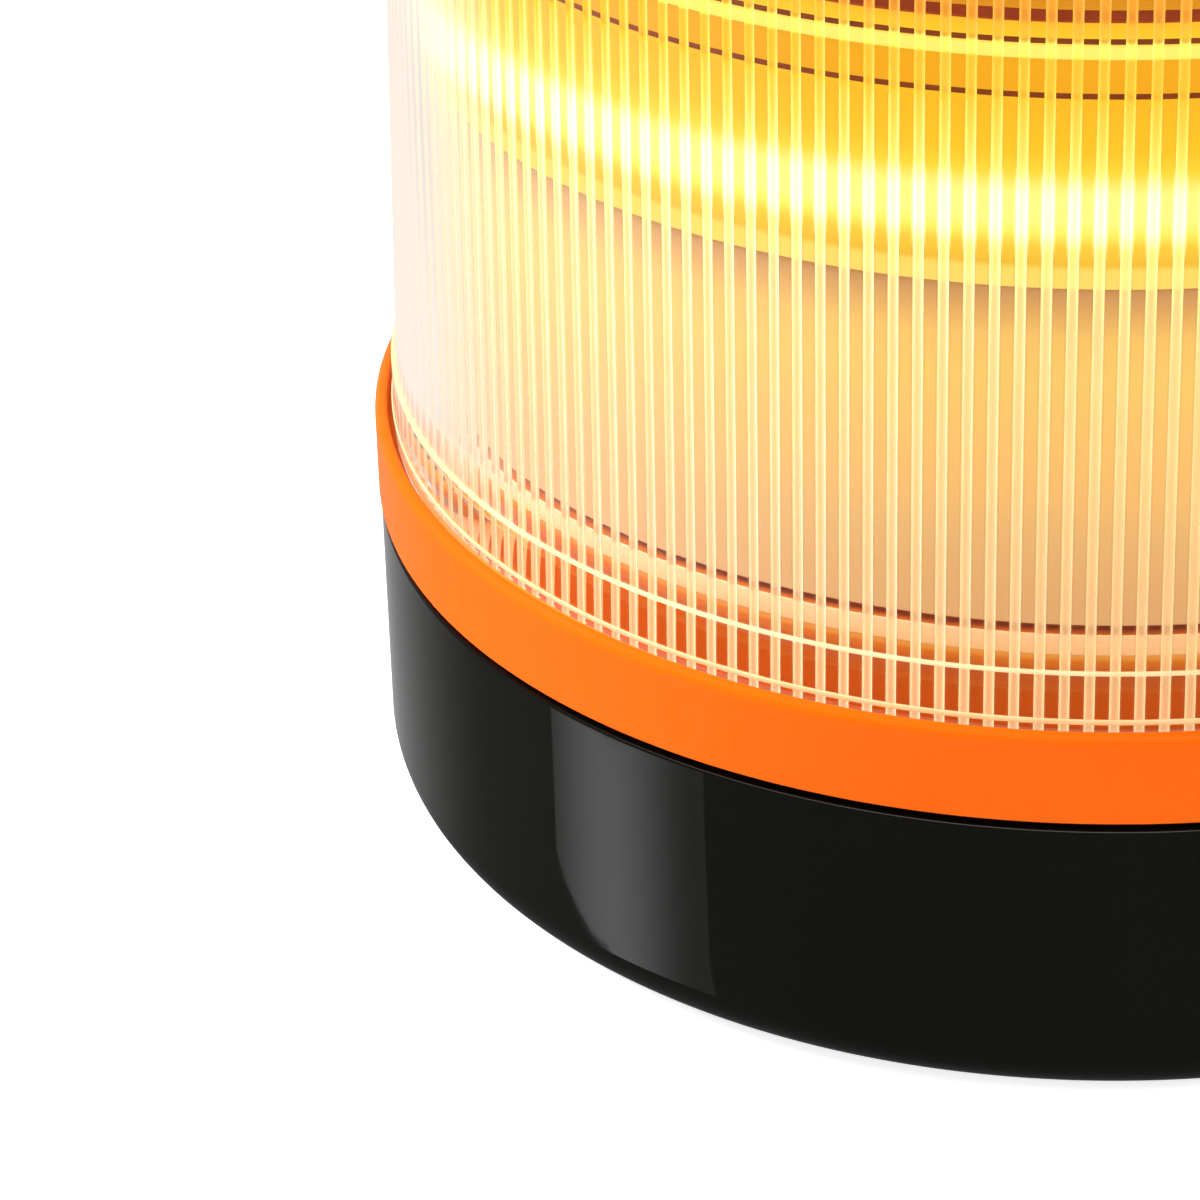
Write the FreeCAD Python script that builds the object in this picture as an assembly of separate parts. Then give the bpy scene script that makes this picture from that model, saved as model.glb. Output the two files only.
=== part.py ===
import FreeCAD, Part
import math
import os

# Magnetic strobe beacon, in millimetres.
# Z points up, the origin is on the axis at the underside of the grip pad.

# Orange ring, from which the base and the lens take their radii
ring_radius = 39.45
ring_height = 4.95
ring_edge = 0.55
ring_lip = 0.7
channel_depth = 1.25

# Base cup
base_inset = 0.1
base_height = 16.0
base_wall = 2.2
base_floor = 2.2
base_edge = 2.6
well_wall = 1.8

# Grip pad under the base
pad_thick = 1.2
pad_proud = 0.4
pad_margin = 4.6
pad_land = 3.2

# Pot magnet and its screw
pot_radius = 16.0
pot_height = 4.2
pot_wall = 1.6
pot_inset = 0.1
magnet_gap = 0.8
magnet_bore = 4.6
magnet_screw_radius = 1.5
magnet_screw_grip = 2.0
magnet_head_radius = 3.2
magnet_head_height = 1.4
boss_wall = 2.0

# Bayonet between base and housing
lug_count = 3
lug_width = 24.0
lug_height = 1.7
ledge_width = 40.0
ledge_height = 1.6
ledge_reach = 1.3
ledge_drop = 1.15
stop_width = 3.0
twist_angle = 36.0

# Collar, skirt and floor of the chassis
collar_rise = 2.78
collar_edge = 0.36
chassis_wall = 1.7
chassis_floor = 1.6
floor_rise = 0.8

# Gaskets
seam_gap = 0.45
base_seal_width = 1.4
seal_inset = 0.15
lens_seal_width = 1.2
lens_seal_depth = 0.8
lens_gap = 0.3
cap_seal_height = 0.8

# Fluted lens
lens_inset = 1.3
lens_draft = 1.4
lens_wall = 1.9
lens_height = 44.65
foot_reach = 0.25
foot_height = 3.95
foot_bead = 0.3
bead_reach = 0.1
bead_rise = 1.1
rib_count = 190
rib_height = 0.22
rib_share = 0.42
rib_turn = -0.406

# Core behind the lens
core_gap = 0.38
core_relief = 0.2
reflector_flange = 1.17
reflector_groove = 0.45
groove_depth = 0.7
reflector_height = 19.6
reflector_wall = 1.6
shelf_thick = 1.6
band_height = 9.6
band_wall = 1.6
led_count = 24
led_size = 3.2
led_depth = 0.8
strip_thick = 0.3
strip_height = 7.6
band_gap = 0.3
hub_wall = 1.6
hub_plate = 1.6
lead_slot = 1.6
crown_lower = 2.0
bead_height = 0.7
upper_groove_gap = 1.05
upper_groove = 0.6

# Top cap
cap_overlap = 2.0
cap_skirt = 1.6
cap_shoulder = 5.2
cap_rise = 2.5
cap_wall = 2.2
cap_edge = 3.5
cap_land = 13.5

# Tie screws that clamp cap, core and chassis
tie_angle = 30.0
tie_screw_radius = 1.5
tie_boss_wall = 1.5
tie_boss_gap = 0.4
tie_grip = 8.0
screw_head_radius = 2.7
screw_head_height = 2.0

# Battery tray, cells and contacts
cell_count = 3
cell_radius = 5.25
cell_length = 43.4
nub_radius = 1.9
nub_length = 1.1
cell_spacing = 0.5
tray_wall = 1.0
tray_roof = 1.2
tray_height = 9.6
tray_corner = 2.0
contact_thick = 0.4
contact_width = 6.0
contact_height = 7.0
leaf_reach = 1.6
tray_screw_radius = 1.1
tray_screw_inset = 6.0

# Main board
board_thick = 1.6
standoff_height = 3.6
standoff_radius = 2.6
standoff_circle = 18.0
standoff_count = 3
board_screw_radius = 1.1
board_screw_length = 4.2
small_head_radius = 2.0
small_head_height = 1.4
board_margin = 2.5
chip_side = 7.0
chip_height = 1.2
capacitor_radius = 3.0
capacitor_height = 8.0
coil_radius = 4.0
coil_height = 4.5
coil_circle = 14.4
coil_angle = -55.0
plug_width = 8.0
plug_depth = 4.0
plug_height = 3.6

# Button and switch
button_radius = 9.0
button_proud = 1.2
button_wall = 1.3
button_edge = 0.8
button_flange = 1.3
flange_thick = 1.0
button_travel = 1.5
plunger_radius = 1.5
plunger_grip = 2.4
socket_wall = 1.3
switch_side = 8.4
switch_height = 6.0
switch_board_thick = 1.2
switch_board_width = 9.0
switch_post_radius = 2.2

# Internal leads
lead_thick = 0.8
lead_width = 6.0
lead_bend = 1.5
battery_lead_width = 1.6
battery_lead_reach = 6.0

# Clearances
running_gap = 0.3
fit_gap = 0.05
slip_gap = 0.1

# Heights that follow from the sizes above
cup_bottom = pad_proud
cup_rim = cup_bottom + base_height
ring_bottom = cup_rim + seam_gap
ring_top = ring_bottom + ring_height
channel_floor = ring_top - channel_depth
lens_bottom = channel_floor + lens_gap
lens_top = lens_bottom + lens_height
collar_top = ring_top + collar_rise
floor_bottom = ring_top + floor_rise
floor_top = floor_bottom + chassis_floor
drum_top = collar_top + reflector_height
band_top = drum_top + band_height
cap_bottom = lens_top - cap_overlap
cap_groove_top = lens_top + cap_seal_height
cap_shoulder_top = cap_bottom + cap_shoulder
cap_top = cap_shoulder_top + cap_rise
cap_under = cap_top - cap_wall
ledge_top = cup_rim - ledge_drop
ledge_bottom = ledge_top - ledge_height
lug_top = ledge_bottom - running_gap
lug_bottom = lug_top - lug_height
board_bottom = floor_top + standoff_height
board_top = board_bottom + board_thick

# Radii that follow from the sizes above
base_radius = ring_radius - base_inset
cup_bore = base_radius - base_wall
ledge_radius = cup_bore - ledge_reach
lug_radius = cup_bore - running_gap
skirt_radius = ledge_radius - running_gap
skirt_bore = skirt_radius - chassis_wall
lens_radius = ring_radius - lens_inset
lens_bore = lens_radius - lens_wall
wall_bottom = lens_bottom + foot_height
lens_top_radius = lens_radius - (lens_top - wall_bottom) * math.tan(math.radians(lens_draft))
cap_radius = lens_top_radius + running_gap + cap_skirt
foot_radius = lens_radius + foot_reach
core_radius = lens_bore - rib_height - core_gap
core_bore = core_radius - reflector_wall
hub_radius = core_radius - band_wall - band_gap - led_depth - strip_thick
hub_bore = hub_radius - hub_wall
tie_boss_radius = tie_screw_radius + tie_boss_wall
tie_circle = hub_bore - tie_boss_radius - tie_boss_gap
board_radius = tie_circle - tie_screw_radius - board_margin
pad_outer = base_radius - pad_margin
well_radius = pot_radius + slip_gap
pad_inner = well_radius + pad_land
button_hole = button_radius + running_gap
flange_radius = button_hole + button_flange
switch_post_circle = flange_radius + running_gap + switch_post_radius

axis = FreeCAD.Vector(0, 0, 1)
origin = FreeCAD.Vector(0, 0, 0)


def flat_point(across, up):
    return FreeCAD.Vector(across, 0, up)


# A closed outline in the XZ plane; a corner is (x, z) or (x, z, rounding radius).
def outline(corners):
    points = [flat_point(corner[0], corner[1]) for corner in corners]
    starts = []
    ends = []
    arcs = []
    for i, point in enumerate(points):
        rounding = corners[i][2] if len(corners[i]) > 2 else 0
        back = (points[i - 1] - point).normalize()
        ahead = (points[(i + 1) % len(points)] - point).normalize()
        if rounding == 0:
            starts.append(point)
            ends.append(point)
            arcs.append(None)
            continue
        half = back.getAngle(ahead) / 2
        reach = rounding / math.tan(half)
        bisector = (back + ahead).normalize()
        middle = point + bisector * (rounding / math.sin(half) - rounding)
        starts.append(point + back * reach)
        ends.append(point + ahead * reach)
        arcs.append(middle)
    edges = []
    for i in range(len(points)):
        if arcs[i] is not None:
            edges.append(Part.Arc(starts[i], arcs[i], ends[i]).toShape())
        following = starts[(i + 1) % len(points)]
        if (following - ends[i]).Length > 1e-6:
            edges.append(Part.makeLine(ends[i], following))
    return Part.Wire(edges)


def lathe(corners, angle=360):
    return Part.Face(outline(corners)).revolve(origin, axis, angle)


def tube(inner, outer, bottom, top):
    return lathe([(inner, bottom), (outer, bottom), (outer, top), (inner, top)])


# A part of a ring, centred on an angle in degrees.
def sector(inner, outer, bottom, top, centre, width):
    piece = lathe([(inner, bottom), (outer, bottom), (outer, top), (inner, top)], width)
    piece.rotate(origin, axis, centre - width / 2)
    return piece


def post(radius, x, y, bottom, top):
    return Part.makeCylinder(radius, top - bottom, FreeCAD.Vector(x, y, bottom))


def block(width, depth, bottom, top, x=0, y=0):
    corner = FreeCAD.Vector(x - width / 2, y - depth / 2, bottom)
    return Part.makeBox(width, depth, top - bottom, corner)


def on_circle(radius, angle):
    turn = math.radians(angle)
    return radius * math.cos(turn), radius * math.sin(turn)


def joined(first, others):
    return first.fuse(others).removeSplitter().Solids[0]


# A bent flat strip that follows points in the XZ plane, one width deep along Y.
def strip(path, thickness, width, bend):
    points = [flat_point(x, z) for x, z in path]
    left = []
    right = []
    for i, point in enumerate(points):
        before = (point - points[i - 1]).normalize() if i > 0 else None
        after = (points[i + 1] - point).normalize() if i < len(points) - 1 else None
        along_in = before or after
        along_out = after or before
        side_in = FreeCAD.Vector(-along_in.z, 0, along_in.x)
        side_out = FreeCAD.Vector(-along_out.z, 0, along_out.x)
        normal = (side_in + side_out).normalize()
        offset = normal * (thickness / 2 / normal.dot(side_in))
        turn_left = along_in.x * along_out.z - along_in.z * along_out.x
        inside = bend if abs(turn_left) > 1e-6 else 0
        outside = bend + thickness if abs(turn_left) > 1e-6 else 0
        above = point + offset
        below = point - offset
        left.append((above.x, above.z, inside if turn_left > 0 else outside))
        right.append((below.x, below.z, outside if turn_left > 0 else inside))
    band = Part.Face(outline(left + right[::-1])).extrude(FreeCAD.Vector(0, width, 0))
    band.translate(FreeCAD.Vector(0, -width / 2, 0))
    return band


def tie_places():
    angles = [tie_angle, 180 - tie_angle, 180 + tie_angle, -tie_angle]
    return [on_circle(tie_circle, angle) for angle in angles]


def standoff_places():
    return [on_circle(standoff_circle, 90 + 360 * i / standoff_count) for i in range(standoff_count)]


# Magnetic base

well_top = cup_bottom + pot_inset + pot_height
boss_top = well_top + well_wall + magnet_screw_grip
cup_floor_top = pad_thick + base_floor


def base_cup():
    boss_radius = magnet_screw_radius + boss_wall
    pilot = magnet_screw_radius + fit_gap
    cup = lathe([
        (0, boss_top),
        (0, boss_top - boss_wall / 2),
        (pilot, boss_top - boss_wall / 2),
        (pilot, well_top),
        (well_radius, well_top),
        (well_radius, cup_bottom),
        (pad_inner, cup_bottom),
        (pad_inner, pad_thick),
        (pad_outer, pad_thick),
        (pad_outer, cup_bottom),
        (base_radius, cup_bottom, base_edge),
        (base_radius, cup_rim),
        (cup_bore, cup_rim),
        (cup_bore, cup_floor_top),
        (well_radius + well_wall, cup_floor_top),
        (well_radius + well_wall, well_top + well_wall),
        (boss_radius, well_top + well_wall),
        (boss_radius, boss_top),
    ])
    catches = []
    root = cup_bore + base_wall / 2
    for i in range(lug_count):
        centre = 360 * i / lug_count
        catches.append(sector(ledge_radius, root, ledge_bottom, ledge_top, centre, ledge_width))
        for stop in stop_angles(centre):
            catches.append(sector(ledge_radius, root, lug_bottom, ledge_top, stop, stop_width))
    return joined(cup, catches)


# One stop stands just behind a seated lug, the other just past the end of its opening turn.
def stop_angles(centre):
    slack = math.degrees(running_gap / ledge_radius)
    reach = lug_width / 2 + slack + stop_width / 2
    return centre - reach, centre + twist_angle + reach


def grip_pad():
    return lathe([
        (pad_inner + slip_gap, 0),
        (pad_outer - slip_gap, 0),
        (pad_outer - slip_gap, pad_thick),
        (pad_inner + slip_gap, pad_thick),
    ])


pot_face = well_top - pot_height
pot_ceiling = well_top - pot_wall


def magnet_pot():
    hole = magnet_screw_radius + slip_gap
    return lathe([
        (hole, pot_ceiling),
        (pot_radius - pot_wall, pot_ceiling),
        (pot_radius - pot_wall, pot_face),
        (pot_radius, pot_face),
        (pot_radius, well_top),
        (hole, well_top),
    ])


def ring_magnet():
    return tube(magnet_bore, pot_radius - pot_wall - magnet_gap, pot_face, pot_ceiling)


def magnet_screw():
    head_bottom = pot_ceiling - magnet_head_height
    return lathe([
        (0, head_bottom),
        (magnet_head_radius, head_bottom),
        (magnet_head_radius, pot_ceiling),
        (magnet_screw_radius, pot_ceiling),
        (magnet_screw_radius, boss_top - boss_wall),
        (0, boss_top - boss_wall),
    ])


# Lamp housing, lower part

def lens_seal_radii():
    middle = (lens_bore + foot_radius) / 2
    return middle - lens_seal_width / 2, middle + lens_seal_width / 2


def chassis():
    seal_inner, seal_outer = lens_seal_radii()
    body = lathe([
        (0, floor_bottom),
        (skirt_bore, floor_bottom),
        (skirt_bore, lug_bottom),
        (skirt_radius, lug_bottom),
        (skirt_radius, ring_bottom),
        (ring_radius, ring_bottom),
        (ring_radius, ring_top - ring_edge),
        (ring_radius - ring_edge, ring_top),
        (ring_radius - ring_lip, ring_top),
        (ring_radius - ring_lip, channel_floor),
        (seal_outer, channel_floor),
        (seal_outer, channel_floor - lens_seal_depth),
        (seal_inner, channel_floor - lens_seal_depth),
        (seal_inner, channel_floor),
        (core_radius, channel_floor),
        (core_radius, collar_top - collar_edge),
        (core_radius - collar_edge, collar_top),
        (skirt_bore, collar_top),
        (skirt_bore, floor_top),
        (0, floor_top),
    ])
    lugs = []
    root = skirt_radius - chassis_wall / 2
    for i in range(lug_count):
        lugs.append(sector(root, lug_radius, lug_bottom, lug_top, 360 * i / lug_count, lug_width))
    post_foot = floor_top - chassis_floor / 2
    posts = [post(standoff_radius, x, y, post_foot, board_bottom) for x, y in standoff_places()]
    body = joined(body, lugs + posts)
    pilot = board_screw_radius + fit_gap
    pilot_end = board_bottom - board_screw_length
    holes = [post(pilot, x, y, pilot_end, board_bottom) for x, y in standoff_places()]
    holes += [post(tie_screw_radius + slip_gap, x, y, floor_bottom, floor_top) for x, y in tie_places()]
    tray_pilot = tray_screw_radius + fit_gap
    holes += [post(tray_pilot, x, y, floor_bottom, floor_top) for x, y in tray_screw_places()]
    holes += [lead_hole(side, floor_bottom, floor_top) for side in (-1, 1)]
    return body.cut(holes).Solids[0]


def base_seal():
    inner = cup_bore + seal_inset
    return tube(inner, inner + base_seal_width, cup_rim, ring_bottom)


def lens_seal():
    inner, outer = lens_seal_radii()
    return tube(inner, outer, channel_floor - lens_seal_depth, lens_bottom)


# Battery tray and cells

cell_pitch = 2 * cell_radius + cell_spacing
tray_bay_width = cell_count * cell_pitch + cell_spacing
tray_bay_length = cell_length + nub_length + 2 * contact_thick + leaf_reach + running_gap
tray_top = floor_bottom
tray_bottom = tray_top - tray_height
bay_top = tray_top - tray_roof
cell_height = bay_top - running_gap - cell_radius


def cell_places():
    return [(i - (cell_count - 1) / 2) * cell_pitch for i in range(cell_count)]


# Cells lie in turn one way and the other.
def cell_turn(i):
    return 1 if i % 2 == 0 else -1


def tray_screw_places():
    reach = tray_bay_length / 2 - tray_screw_inset
    return [(0, -reach), (0, reach)]


def rounded_block(width, depth, bottom, top, corner):
    body = block(width, depth, bottom, top)
    upright = [edge for edge in body.Edges if abs(edge.Vertexes[0].Z - edge.Vertexes[1].Z) > 1e-6]
    return body.makeFillet(corner, upright)


def lead_hole(side, bottom, top):
    x = side * cell_pitch / 2
    y = tray_bay_length / 2 - battery_lead_reach
    size = battery_lead_width + 2 * running_gap
    return block(size, lead_thick + 2 * running_gap, bottom, top, x, y)


def battery_tray():
    width = tray_bay_width + 2 * tray_wall
    length = tray_bay_length + 2 * tray_wall
    body = rounded_block(width, length, tray_bottom, tray_top, tray_corner)
    bay = block(tray_bay_width, tray_bay_length, tray_bottom, bay_top)
    holes = [post(tray_screw_radius + slip_gap, x, y, bay_top, tray_top) for x, y in tray_screw_places()]
    holes += [lead_hole(side, bay_top, tray_top) for side in (-1, 1)]
    return body.cut([bay] + holes).Solids[0]


def tray_screws():
    screws = []
    for x, y in tray_screw_places():
        head = post(small_head_radius, x, y, bay_top - running_gap, bay_top)
        shank = post(tray_screw_radius, x, y, bay_top, floor_top)
        screws.append(joined(head, [shank]))
    return Part.makeCompound(screws)


def battery_cells():
    cells = []
    for i, x in enumerate(cell_places()):
        cell = lathe([
            (0, 0),
            (cell_radius, 0),
            (cell_radius, cell_length),
            (nub_radius, cell_length),
            (nub_radius, cell_length + nub_length),
            (0, cell_length + nub_length),
        ])
        cell.rotate(origin, FreeCAD.Vector(1, 0, 0), -90 * cell_turn(i))
        start = -tray_bay_length / 2 + contact_thick + leaf_reach + running_gap / 2
        cell.translate(FreeCAD.Vector(x, start * cell_turn(i), cell_height))
        cells.append(cell)
    return Part.makeCompound(cells)


def contact_plates():
    plates = []
    for i, x in enumerate(cell_places()):
        y = cell_turn(i) * (tray_bay_length - contact_thick) / 2
        low = cell_height - contact_height / 2
        plates.append(block(contact_width, contact_thick, low, low + contact_height, x, y))
    return Part.makeCompound(plates)


def contact_leaves():
    leaves = []
    for i, x in enumerate(cell_places()):
        half = contact_height / 2
        path = [(0, -half), (leaf_reach, 0), (0, half)]
        leaf = strip(path, contact_thick / 2, contact_width, contact_thick)
        leaf.rotate(origin, axis, 90 * cell_turn(i))
        y = -cell_turn(i) * (tray_bay_length / 2 - contact_thick)
        leaf.translate(FreeCAD.Vector(x, y, cell_height))
        leaves.append(leaf)
    return Part.makeCompound(leaves)


# Main board

def main_board():
    board = post(board_radius, 0, 0, board_bottom, board_top)
    hole = board_screw_radius + slip_gap
    return board.cut([post(hole, x, y, board_bottom, board_top) for x, y in standoff_places()])


def board_screws():
    screws = []
    for x, y in standoff_places():
        head = post(small_head_radius, x, y, board_top, board_top + small_head_height)
        shank = post(board_screw_radius, x, y, board_top - board_screw_length, board_top)
        screws.append(joined(head, [shank]))
    return Part.makeCompound(screws)


plug_offset = board_radius / 2


def board_parts():
    coil_x, coil_y = on_circle(coil_circle, coil_angle)
    parts = [
        block(chip_side, chip_side, board_top, board_top + chip_height),
        post(capacitor_radius, -plug_offset, 0, board_top, board_top + capacitor_height),
        post(coil_radius, coil_x, coil_y, board_top, board_top + coil_height),
        block(plug_depth, plug_width, board_top, board_top + plug_height, plug_offset),
        block(plug_width, plug_depth, board_top, board_top + plug_height, 0, -switch_plug_offset),
    ]
    return Part.makeCompound(parts)


# Lens

# The bore of the lens: plain arcs between half-round ribs that stand inwards.
def fluted_outline():
    pitch = 2 * math.pi / rib_count
    half_rib = pitch * rib_share / 2
    edges = []

    def bore_point(radius, angle):
        return FreeCAD.Vector(radius * math.cos(angle), radius * math.sin(angle), lens_bottom)

    for i in range(rib_count):
        crest = pitch * i + math.radians(rib_turn)
        rib_start = bore_point(lens_bore, crest - half_rib)
        rib_crest = bore_point(lens_bore - rib_height, crest)
        rib_end = bore_point(lens_bore, crest + half_rib)
        flat_middle = bore_point(lens_bore, crest + pitch / 2)
        next_rib = bore_point(lens_bore, crest + pitch - half_rib)
        edges.append(Part.Arc(rib_start, rib_crest, rib_end).toShape())
        edges.append(Part.Arc(rib_end, flat_middle, next_rib).toShape())
    return Part.Wire(edges)


def lens():
    bead_bottom = lens_bottom + bead_rise
    bead_top = bead_bottom + foot_bead
    shell = lathe([
        (0, lens_bottom),
        (foot_radius, lens_bottom),
        (foot_radius, bead_bottom),
        (foot_radius + bead_reach, bead_bottom),
        (foot_radius + bead_reach, bead_top),
        (foot_radius, bead_top),
        (foot_radius, wall_bottom),
        (lens_radius, wall_bottom),
        (lens_top_radius, lens_top),
        (0, lens_top),
    ])
    bore = Part.Face(fluted_outline()).extrude(FreeCAD.Vector(0, 0, lens_height))
    return shell.cut(bore).Solids[0]


# Core behind the lens

face_radius = core_radius - core_relief


def lower_reflector():
    groove_bottom = collar_top + reflector_flange
    groove_top = groove_bottom + reflector_groove
    shelf_bottom = drum_top - shelf_thick
    return lathe([
        (core_bore, collar_top),
        (core_radius, collar_top),
        (core_radius, groove_bottom),
        (core_radius - groove_depth, groove_bottom),
        (core_radius - groove_depth, groove_top),
        (face_radius, groove_top),
        (face_radius, drum_top),
        (hub_bore, drum_top),
        (hub_bore, shelf_bottom),
        (core_bore, shelf_bottom),
    ])


strip_bottom = drum_top + (band_height - strip_height) / 2
lead_height = strip_bottom + lead_slot / 2


def led_hub():
    plate_bore = tie_circle - tie_boss_radius
    hub = lathe([
        (hub_bore, drum_top),
        (hub_radius, drum_top),
        (hub_radius, band_top),
        (plate_bore, band_top),
        (plate_bore, band_top - hub_plate),
        (hub_bore, band_top - hub_plate),
    ])
    hole = tie_screw_radius + slip_gap
    holes = [post(hole, x, y, band_top - hub_plate, band_top) for x, y in tie_places()]
    slot_width = lead_width + 2 * running_gap
    slot_middle = (hub_bore + hub_radius) / 2
    holes.append(block(2 * hub_wall, slot_width, strip_bottom, strip_bottom + lead_slot, slot_middle))
    return hub.cut(holes).Solids[0]


def led_strip():
    return tube(hub_radius, hub_radius + strip_thick, strip_bottom, strip_bottom + strip_height)


def leds():
    middle = (drum_top + band_top) / 2
    lamps = []
    for i in range(led_count):
        lamp = block(led_depth, led_size, middle - led_size / 2, middle + led_size / 2)
        lamp.translate(FreeCAD.Vector(hub_radius + strip_thick + led_depth / 2, 0, 0))
        lamp.rotate(origin, axis, 360 * (i + 0.5) / led_count)
        lamps.append(lamp)
    return Part.makeCompound(lamps)


def light_ring():
    return tube(core_radius - band_wall, core_radius, drum_top, band_top)


def crown():
    bead_bottom = band_top + crown_lower
    bead_top = bead_bottom + bead_height
    groove_bottom = bead_top + upper_groove_gap
    groove_top = groove_bottom + upper_groove
    return lathe([
        (core_bore, band_top),
        (face_radius, band_top),
        (face_radius, bead_bottom),
        (core_radius, bead_bottom),
        (core_radius, bead_top),
        (face_radius, bead_top),
        (face_radius, groove_bottom),
        (core_radius - groove_depth, groove_bottom),
        (core_radius - groove_depth, groove_top),
        (face_radius, groove_top),
        (face_radius, cap_bottom),
        (core_bore, cap_bottom),
    ])


# Top cap

def cap_seal():
    return tube(core_radius + running_gap, lens_top_radius, lens_top, cap_groove_top)


cap_ceiling = cap_shoulder_top - cap_wall


# Height of the sloping underside of the cap at a radius.
def under_cap(radius):
    share = (core_bore - radius) / (core_bore - cap_land)
    return cap_ceiling + share * (cap_under - cap_ceiling)


def switch_post_places():
    return [(0, -switch_post_circle), (0, switch_post_circle)]


def top_cap():
    groove_outer = cap_radius - cap_skirt
    body = lathe([
        (button_hole, cap_under),
        (cap_land, cap_under),
        (core_bore, cap_ceiling),
        (core_bore, cap_bottom),
        (core_radius, cap_bottom),
        (core_radius, cap_groove_top),
        (groove_outer, cap_groove_top),
        (groove_outer, cap_bottom),
        (cap_radius, cap_bottom),
        (cap_radius, cap_shoulder_top, cap_edge),
        (cap_land, cap_top),
        (button_hole, cap_top),
    ])
    posts = []
    holes = []
    tie_pilot = tie_screw_radius + fit_gap
    for x, y in tie_places():
        posts.append(post(tie_boss_radius, x, y, band_top, under_cap(tie_circle) + cap_wall / 2))
        holes.append(post(tie_pilot, x, y, band_top, band_top + tie_grip))
    switch_pilot = board_screw_radius + fit_gap
    pilot_end = switch_board_top + board_screw_length
    for x, y in switch_post_places():
        posts.append(post(switch_post_radius, x, y, switch_board_top, cap_under + cap_wall / 4))
        holes.append(post(switch_pilot, x, y, switch_board_top, pilot_end))
    return joined(body, posts).cut(holes).Solids[0]


def tie_screws():
    screws = []
    for x, y in tie_places():
        head = post(screw_head_radius, x, y, floor_bottom - screw_head_height, floor_bottom)
        shank = post(tie_screw_radius, x, y, floor_bottom, band_top + tie_grip - running_gap)
        screws.append(joined(head, [shank]))
    return Part.makeCompound(screws)


# Button and switch

button_top = cap_top + button_proud
flange_top = cap_under - running_gap
flange_bottom = flange_top - flange_thick
socket_bottom = flange_bottom + running_gap
switch_top = socket_bottom - button_travel - running_gap
switch_board_top = switch_top - switch_height
switch_board_bottom = switch_board_top - switch_board_thick
plunger_top = socket_bottom + plunger_grip
switch_plug_offset = (switch_side + plug_depth) / 2 + running_gap


def power_button():
    ceiling = button_top - button_wall
    hole = plunger_radius + fit_gap
    return lathe([
        (0, plunger_top),
        (hole, plunger_top),
        (hole, socket_bottom),
        (hole + socket_wall, socket_bottom),
        (hole + socket_wall, ceiling),
        (button_radius - button_wall, ceiling),
        (button_radius - button_wall, flange_bottom),
        (flange_radius, flange_bottom),
        (flange_radius, flange_top),
        (button_radius, flange_top),
        (button_radius, button_top - button_edge),
        (button_radius - button_edge, button_top),
        (0, button_top),
    ])


def switch_plunger():
    return post(plunger_radius, 0, 0, switch_top - button_travel, plunger_top)


def switch_body():
    body = block(switch_side, switch_side, switch_board_top, switch_top)
    bore_bottom = switch_top - 2 * button_travel - running_gap
    return body.cut(post(plunger_radius + running_gap, 0, 0, bore_bottom, switch_top))


def switch_board():
    length = 2 * (switch_post_circle + switch_post_radius)
    board = block(switch_board_width, length, switch_board_bottom, switch_board_top)
    hole = board_screw_radius + slip_gap
    holes = [post(hole, x, y, switch_board_bottom, switch_board_top) for x, y in switch_post_places()]
    plug_bottom = switch_board_bottom - plug_height
    plug = block(plug_width, plug_depth, plug_bottom, switch_board_bottom, 0, -switch_plug_offset)
    return Part.makeCompound([board.cut(holes), plug])


def switch_screws():
    screws = []
    head_bottom = switch_board_bottom - small_head_height
    shank_end = switch_board_top + board_screw_length - running_gap
    for x, y in switch_post_places():
        head = post(small_head_radius, x, y, head_bottom, switch_board_bottom)
        shank = post(board_screw_radius, x, y, switch_board_bottom, shank_end)
        screws.append(joined(head, [shank]))
    return Part.makeCompound(screws)


# Internal leads

def wire_harness():
    plug_top = board_top + plug_height
    switch_end = switch_board_bottom - plug_height
    switch_lead = block(lead_width, lead_thick, plug_top, switch_end, 0, -switch_plug_offset)
    lead_end = math.sqrt(hub_radius**2 - (lead_width / 2)**2)
    path = [(lead_end, lead_height), (plug_offset, lead_height), (plug_offset, plug_top)]
    led_lead = strip(path, lead_thick, lead_width, lead_bend)
    leads = [switch_lead, led_lead]
    for side in (-1, 1):
        x = side * cell_pitch / 2
        y = tray_bay_length / 2 - battery_lead_reach
        leads.append(block(battery_lead_width, lead_thick, bay_top, board_bottom, x, y))
    return Part.makeCompound(leads)


nodes = {
    "base_cup": base_cup,
    "grip_pad": grip_pad,
    "magnet_pot": magnet_pot,
    "ring_magnet": ring_magnet,
    "magnet_screw": magnet_screw,
    "chassis": chassis,
    "base_seal": base_seal,
    "battery_tray": battery_tray,
    "tray_screws": tray_screws,
    "battery_cells": battery_cells,
    "contact_plates": contact_plates,
    "contact_leaves": contact_leaves,
    "main_board": main_board,
    "board_parts": board_parts,
    "board_screws": board_screws,
    "lens_seal": lens_seal,
    "lens": lens,
    "lower_reflector": lower_reflector,
    "led_hub": led_hub,
    "led_strip": led_strip,
    "leds": leds,
    "light_ring": light_ring,
    "crown": crown,
    "cap_seal": cap_seal,
    "top_cap": top_cap,
    "tie_screws": tie_screws,
    "power_button": power_button,
    "switch_plunger": switch_plunger,
    "switch_body": switch_body,
    "switch_board": switch_board,
    "switch_screws": switch_screws,
    "wire_harness": wire_harness,
}

os.makedirs("parts", exist_ok=True)
for name, make in nodes.items():
    make().exportStep(f"parts/{name}.step")
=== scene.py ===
import math

import bpy
from mathutils import Matrix, Vector


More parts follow.
